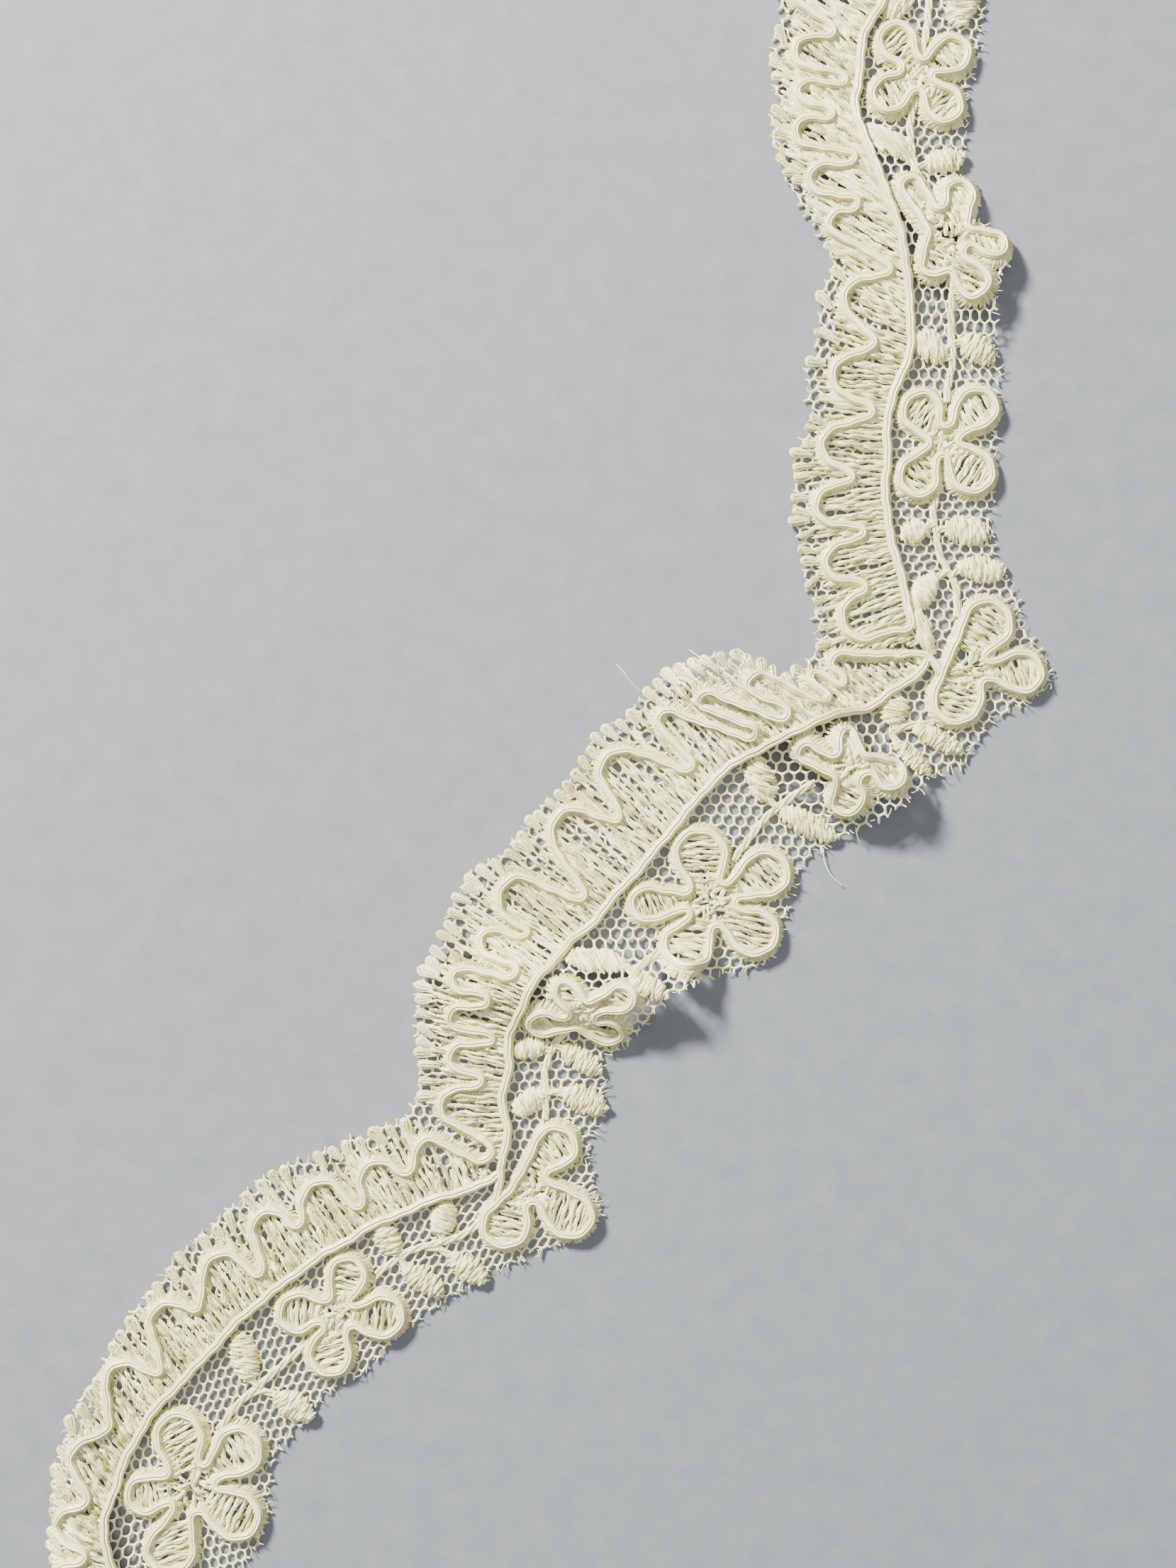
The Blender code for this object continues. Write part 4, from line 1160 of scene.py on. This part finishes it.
def leaf_shape():
    """Padded leaves: fat stitches side by side over a low pad, uneven at the rim."""
    shapes = []
    dome = np.sqrt(np.maximum(0, 1 - np.linspace(-1, 1, LEAF_STEPS) ** 2))[None]
    for leaf in LEAVES:
        base, tip = leaf_ends(leaf)
        width, thread = leaf[4:]
        length = np.hypot(*(tip - base))
        axis = (tip - base) / length
        across = left_of(axis)
        half = length * LEAF_HALF
        wide = width * LEAF_WIDE
        centre = base + (tip - base) * LEAF_CENTRE
        way = toward(math.radians(thread))
        over = left_of(way)
        # The leaf's oval, met by a stitch at each step to the side
        a = (way @ axis / half) ** 2 + (way @ across / wide) ** 2
        mixed = (way @ axis) * (over @ axis) / half ** 2
        mixed += (way @ across) * (over @ across) / wide ** 2
        c = (over @ axis / half) ** 2 + (over @ across / wide) ** 2
        reach = math.sqrt(a / (a * c - mixed ** 2))
        count = max(3, int(round(2 * reach / LEAF_SPACING)))
        for layer in range(2):
            at = np.clip(np.linspace(-0.96, 0.96, count) + rng.normal(0, 0.02, count), -0.97, 0.97)
            side = at * reach
            root = np.sqrt(np.maximum((mixed * side) ** 2 - a * (c * side ** 2 - 1), 0.0))
            middle = -mixed * side / a
            chord = root / a * rng.uniform(0.86, 1.12, count) - layer * 0.16
            chord = np.maximum(chord, 0.25)[:, None]
            feet = centre + over * side[:, None] + way * middle[:, None]
            swing = over * rng.normal(0, 0.14, (count, 1))
            ends = (feet - way * chord - swing, feet + way * chord + swing)
            lines = wavy(*ends, LEAF_STEPS, 0.07, 2.0)
            crown = LEAF_CROWN * np.sqrt(1 - at ** 2)[:, None] * dome
            raise_by = -0.30 + 0.16 * layer + crown + rng.normal(0, 0.035, (count, LEAF_STEPS))
            thread_width = twist_width(lines, 0.34, 0.48)
            thread_width[:, [0, -1]] *= 0.75
            shapes.append(stitches(lines, raise_by, thread_width, 0.8, (0.1, 0.85)))
    return joined(shapes)


def twisted(line, spread, width, raise_to):
    """A few threads laid together along a line, crossing over each other now and then."""
    points, direction = even_steps(line, STEM_STEP)
    side = left_of(direction)
    far = np.arange(len(points)) * STEM_STEP
    shapes = []
    for k in range(STEM_STRANDS):
        phase = 2 * math.pi * k / STEM_STRANDS
        strand = points + side * (np.sin(far * STEM_TWIST + phase) * spread)[:, None]
        raise_by = raise_to + 0.12 * np.cos(far * STEM_TWIST + phase)
        tone = rng.uniform(0.2, 0.7)
        shapes.append(swept_once(strand, raise_by, width, width * 0.85, ROUND, tone))
    return joined(shapes)


def stem_shape():
    """The stems between the flowers, and the neck that ties each leaf to its stem."""
    lines = [smooth_through(stem, 10) for stem in STEMS]
    shapes = [twisted(line, 0.26, 0.42, -0.15) for line in lines]
    every = np.vstack(lines)
    for leaf in LEAVES:
        base, tip = leaf_ends(leaf)
        start = base + (tip - base) * 0.15
        far = distance_from(every, start)
        near = every[far.argmin()]
        if 0.5 < far.min() < 5.0:
            bend = (start + near) / 2 + (tip - base) * -0.06
            neck = smooth_through([start, bend, near], 10)
            shapes.append(twisted(neck, 0.24, 0.40, -0.08))
    return joined(shapes)


# Loose ends

# An edge, how many broken fibres stand along it, and 1 where they point to its left or -1
FUZZ = ((inner_line, 210, 1), (outer_line, 120, -1))
FUZZ_STEPS = 6
FUZZ_WIDTH = 0.10
FIBRE_WIDTH = 0.11
FIBRES = (
    ((27.8, -7.6), (27.9, -9.2), (28.6, -10.6), (29.3, -11.4), (30.0, -12.0)),
    ((31.3, -5.2), (31.6, -6.2), (31.9, -7.0)),
    ((54.2, 13.1), (54.6, 12.9), (55.0, 13.0)),
    ((3.3, 14.2), (4.2, 13.2), (5.2, 11.9), (6.2, 10.9)),
    ((-14.5, -10.7), (-13.9, -11.6), (-13.4, -12.4)),
    ((46.3, 64.2), (48.0, 64.6), (49.9, 64.0)),
    ((11.7, 15.9), (12.4, 15.2), (13.0, 14.6)),
    ((17.5, 15.9), (18.2, 15.2), (18.8, 14.6)),
)


def fuzz_shape():
    """Fine broken fibres along both edges, and the longer loose ones."""
    shapes = []
    for edge, number, sign in FUZZ:
        points, direction = even_steps(edge, lengths_along(edge)[-1] / number)
        away = left_of(direction) * sign
        count = len(points)
        back = away * rng.uniform(0.3, 0.7, (count, 1))
        start = points - back + direction * rng.normal(0, 0.3, (count, 1))
        turn = rng.normal(0, 0.9, count)
        length = rng.uniform(0.4, 1.25, count)
        bend = rng.normal(0, 1.4, count)
        lines = [start]
        for k in range(FUZZ_STEPS - 1):
            angle = np.arctan2(away[:, 1], away[:, 0]) + turn + bend * k / 4
            lines.append(lines[-1] + toward(angle) * (length / 5)[:, None])
        lines = np.stack(lines, 1)
        lift = rng.uniform(-0.15, 0.35, (count, 1)) * np.linspace(0, 1, FUZZ_STEPS)[None]
        raise_by = np.linspace(-0.2, 0.0, FUZZ_STEPS)[None] + lift
        width = np.full((count, FUZZ_STEPS), FUZZ_WIDTH)
        width[:, -1] = FUZZ_WIDTH / 2
        shapes.append(stitches(lines, raise_by, width, 1.0, (0.3, 0.9)))
    for fibre in FIBRES:
        line, _ = even_steps(smooth_through(fibre), 0.25)
        raise_by = -0.35 + 0.2 * np.sin(np.linspace(0, math.pi, len(line)))
        shapes.append(swept_once(line, raise_by, FIBRE_WIDTH, FIBRE_WIDTH, ROUND, 0.8))
    return joined(shapes)


# The lace, piece by piece

def add_cord(name, line, closed, cord_width):
    """The satin cord that stands for one of the solids."""
    shape = cord_shape(line, closed, cord_width)
    add_piece(f"{name}_satin", shape, cord_satin, [name])


for key in "abc":
    add_cord(f"spine_cord_{key}", smooth_through(SPINES[key]), False, SPINE_CORD_WIDTH)
    add_cord(f"scallop_cord_{key}", scallop_line(key), False, PATTERN_CORD_WIDTH)

joins = joined([cord_shape(smooth_through(run), False, PATTERN_CORD_WIDTH) for run in JOINS])
add_piece("cord_joins", joins, cord_satin)

borders = []
rims = []
petals = []
for key in "abc":
    borders.append(rim_shape(scallop_line(key), False, SCALLOP_RIM_SPACING, *SCALLOP_RIM_REACH))
for number in FLOWERS:
    line = flower_line(number)
    add_cord(f"flower_cord_{number}", line, True, PATTERN_CORD_WIDTH)
    reach = WIDER_RIM_REACH.get(number, FLOWER_RIM_REACH)
    rims.append(rim_shape(line, True, FLOWER_RIM_SPACING, *reach))
    petals.append(petal_shape(number, line))

worked = [
    add_piece("band_threads", band_shape(), fill_thread),
    add_piece("edge_loops", tongue_shape(), fill_thread),
    add_piece("petal_threads", joined(petals), fill_thread),
    add_piece("scallop_borders", joined(borders), satin_thread),
    add_piece("flower_borders", joined(rims), satin_thread),
    add_piece("leaf_stitches", leaf_shape(), satin_thread),
    add_piece("stem_threads", stem_shape(), satin_thread),
    add_piece("loose_fibres", fuzz_shape(), net_thread),
]
net = add_piece("lace_net", net_shape(), net_thread, ["lace_ground"])


# The table, the light and the camera, in metres

FLOOR_HALF = 1.5
FLOOR_DROP = 0.0002
# A light's name, place, size, power and colour
LIGHTS = (
    ("key_light", (-0.42, 0.46, 0.46), 0.12, 30.0, (1.0, 1.0, 0.94)),
    ("fill_light", (0.55, -0.25, 0.60), 0.7, 1.2, (0.95, 0.97, 1.0)),
    ("top_light", (0.0, 0.05, 0.95), 0.5, 4.0, (1.0, 1.0, 1.0)),
)
SKY = (0.80, 0.84, 0.90)
SKY_STRENGTH = 0.25
# The photo's height on the lace and the level it is taken at, in mm
PICTURE_HEIGHT = 184.33
LACE_LEVEL = 1.2
LENS = 50.0
SENSOR = 36.0


def floor_finish():
    """A plain matt table in a pale cool grey."""
    made, tree, shader = new_material("table_paint", {"Roughness": 0.85})
    grain = new_node(tree, "TexNoise", {"Scale": 900.0, "Detail": 2.0}, {})
    stops = [(0.3, (0.175, 0.188, 0.208)), (0.7, (0.200, 0.213, 0.233))]
    tree.links.new(colour_ramp(tree, grain.outputs["Fac"], stops), shader.inputs["Base Color"])
    return made


def add_floor():
    """The table top, just under the lace."""
    side = FLOOR_HALF
    mesh = bpy.data.meshes.new("table_top")
    corners = [(-side, -side, 0), (side, -side, 0), (side, side, 0), (-side, side, 0)]
    mesh.from_pydata(corners, [], [(0, 1, 2, 3)])
    mesh.materials.append(floor_finish())
    floor = bpy.data.objects.new("table_top", mesh)
    floor.location.z = -FLOOR_DROP
    bpy.context.scene.collection.objects.link(floor)


def add_light(name, place, size, power, colour):
    """A soft square light that looks at the middle of the part."""
    data = bpy.data.lights.new(name, "AREA")
    data.shape = "SQUARE"
    data.size = size
    data.energy = power
    data.color = colour
    light = bpy.data.objects.new(name, data)
    light.location = place
    light.rotation_mode = "QUATERNION"
    light.rotation_quaternion = (-light.location.normalized()).to_track_quat("-Z", "Y")
    bpy.context.scene.collection.objects.link(light)


def add_sky():
    """A faint even light from all round."""
    world = bpy.data.worlds.new("studio")
    world.use_nodes = True
    background = world.node_tree.nodes["Background"]
    background.inputs["Color"].default_value = (*SKY, 1)
    background.inputs["Strength"].default_value = SKY_STRENGTH
    bpy.context.scene.world = world


def add_camera():
    """The camera, straight above the middle of the photo."""
    lens = bpy.data.cameras.new("camera")
    lens.lens = LENS
    lens.sensor_width = SENSOR
    lens.dof.use_dof = False
    lens.clip_start = 0.01
    lens.clip_end = 10.0
    camera = bpy.data.objects.new("camera", lens)
    distance = PICTURE_HEIGHT * LENS / SENSOR + LACE_LEVEL
    camera.location = (SHIFT[0] * MM, SHIFT[1] * MM, distance * MM)
    camera.rotation_euler = (0, 0, 0)
    bpy.context.scene.collection.objects.link(camera)
    bpy.context.scene.camera = camera


add_floor()
for light in LIGHTS:
    add_light(*light)
add_sky()
add_camera()
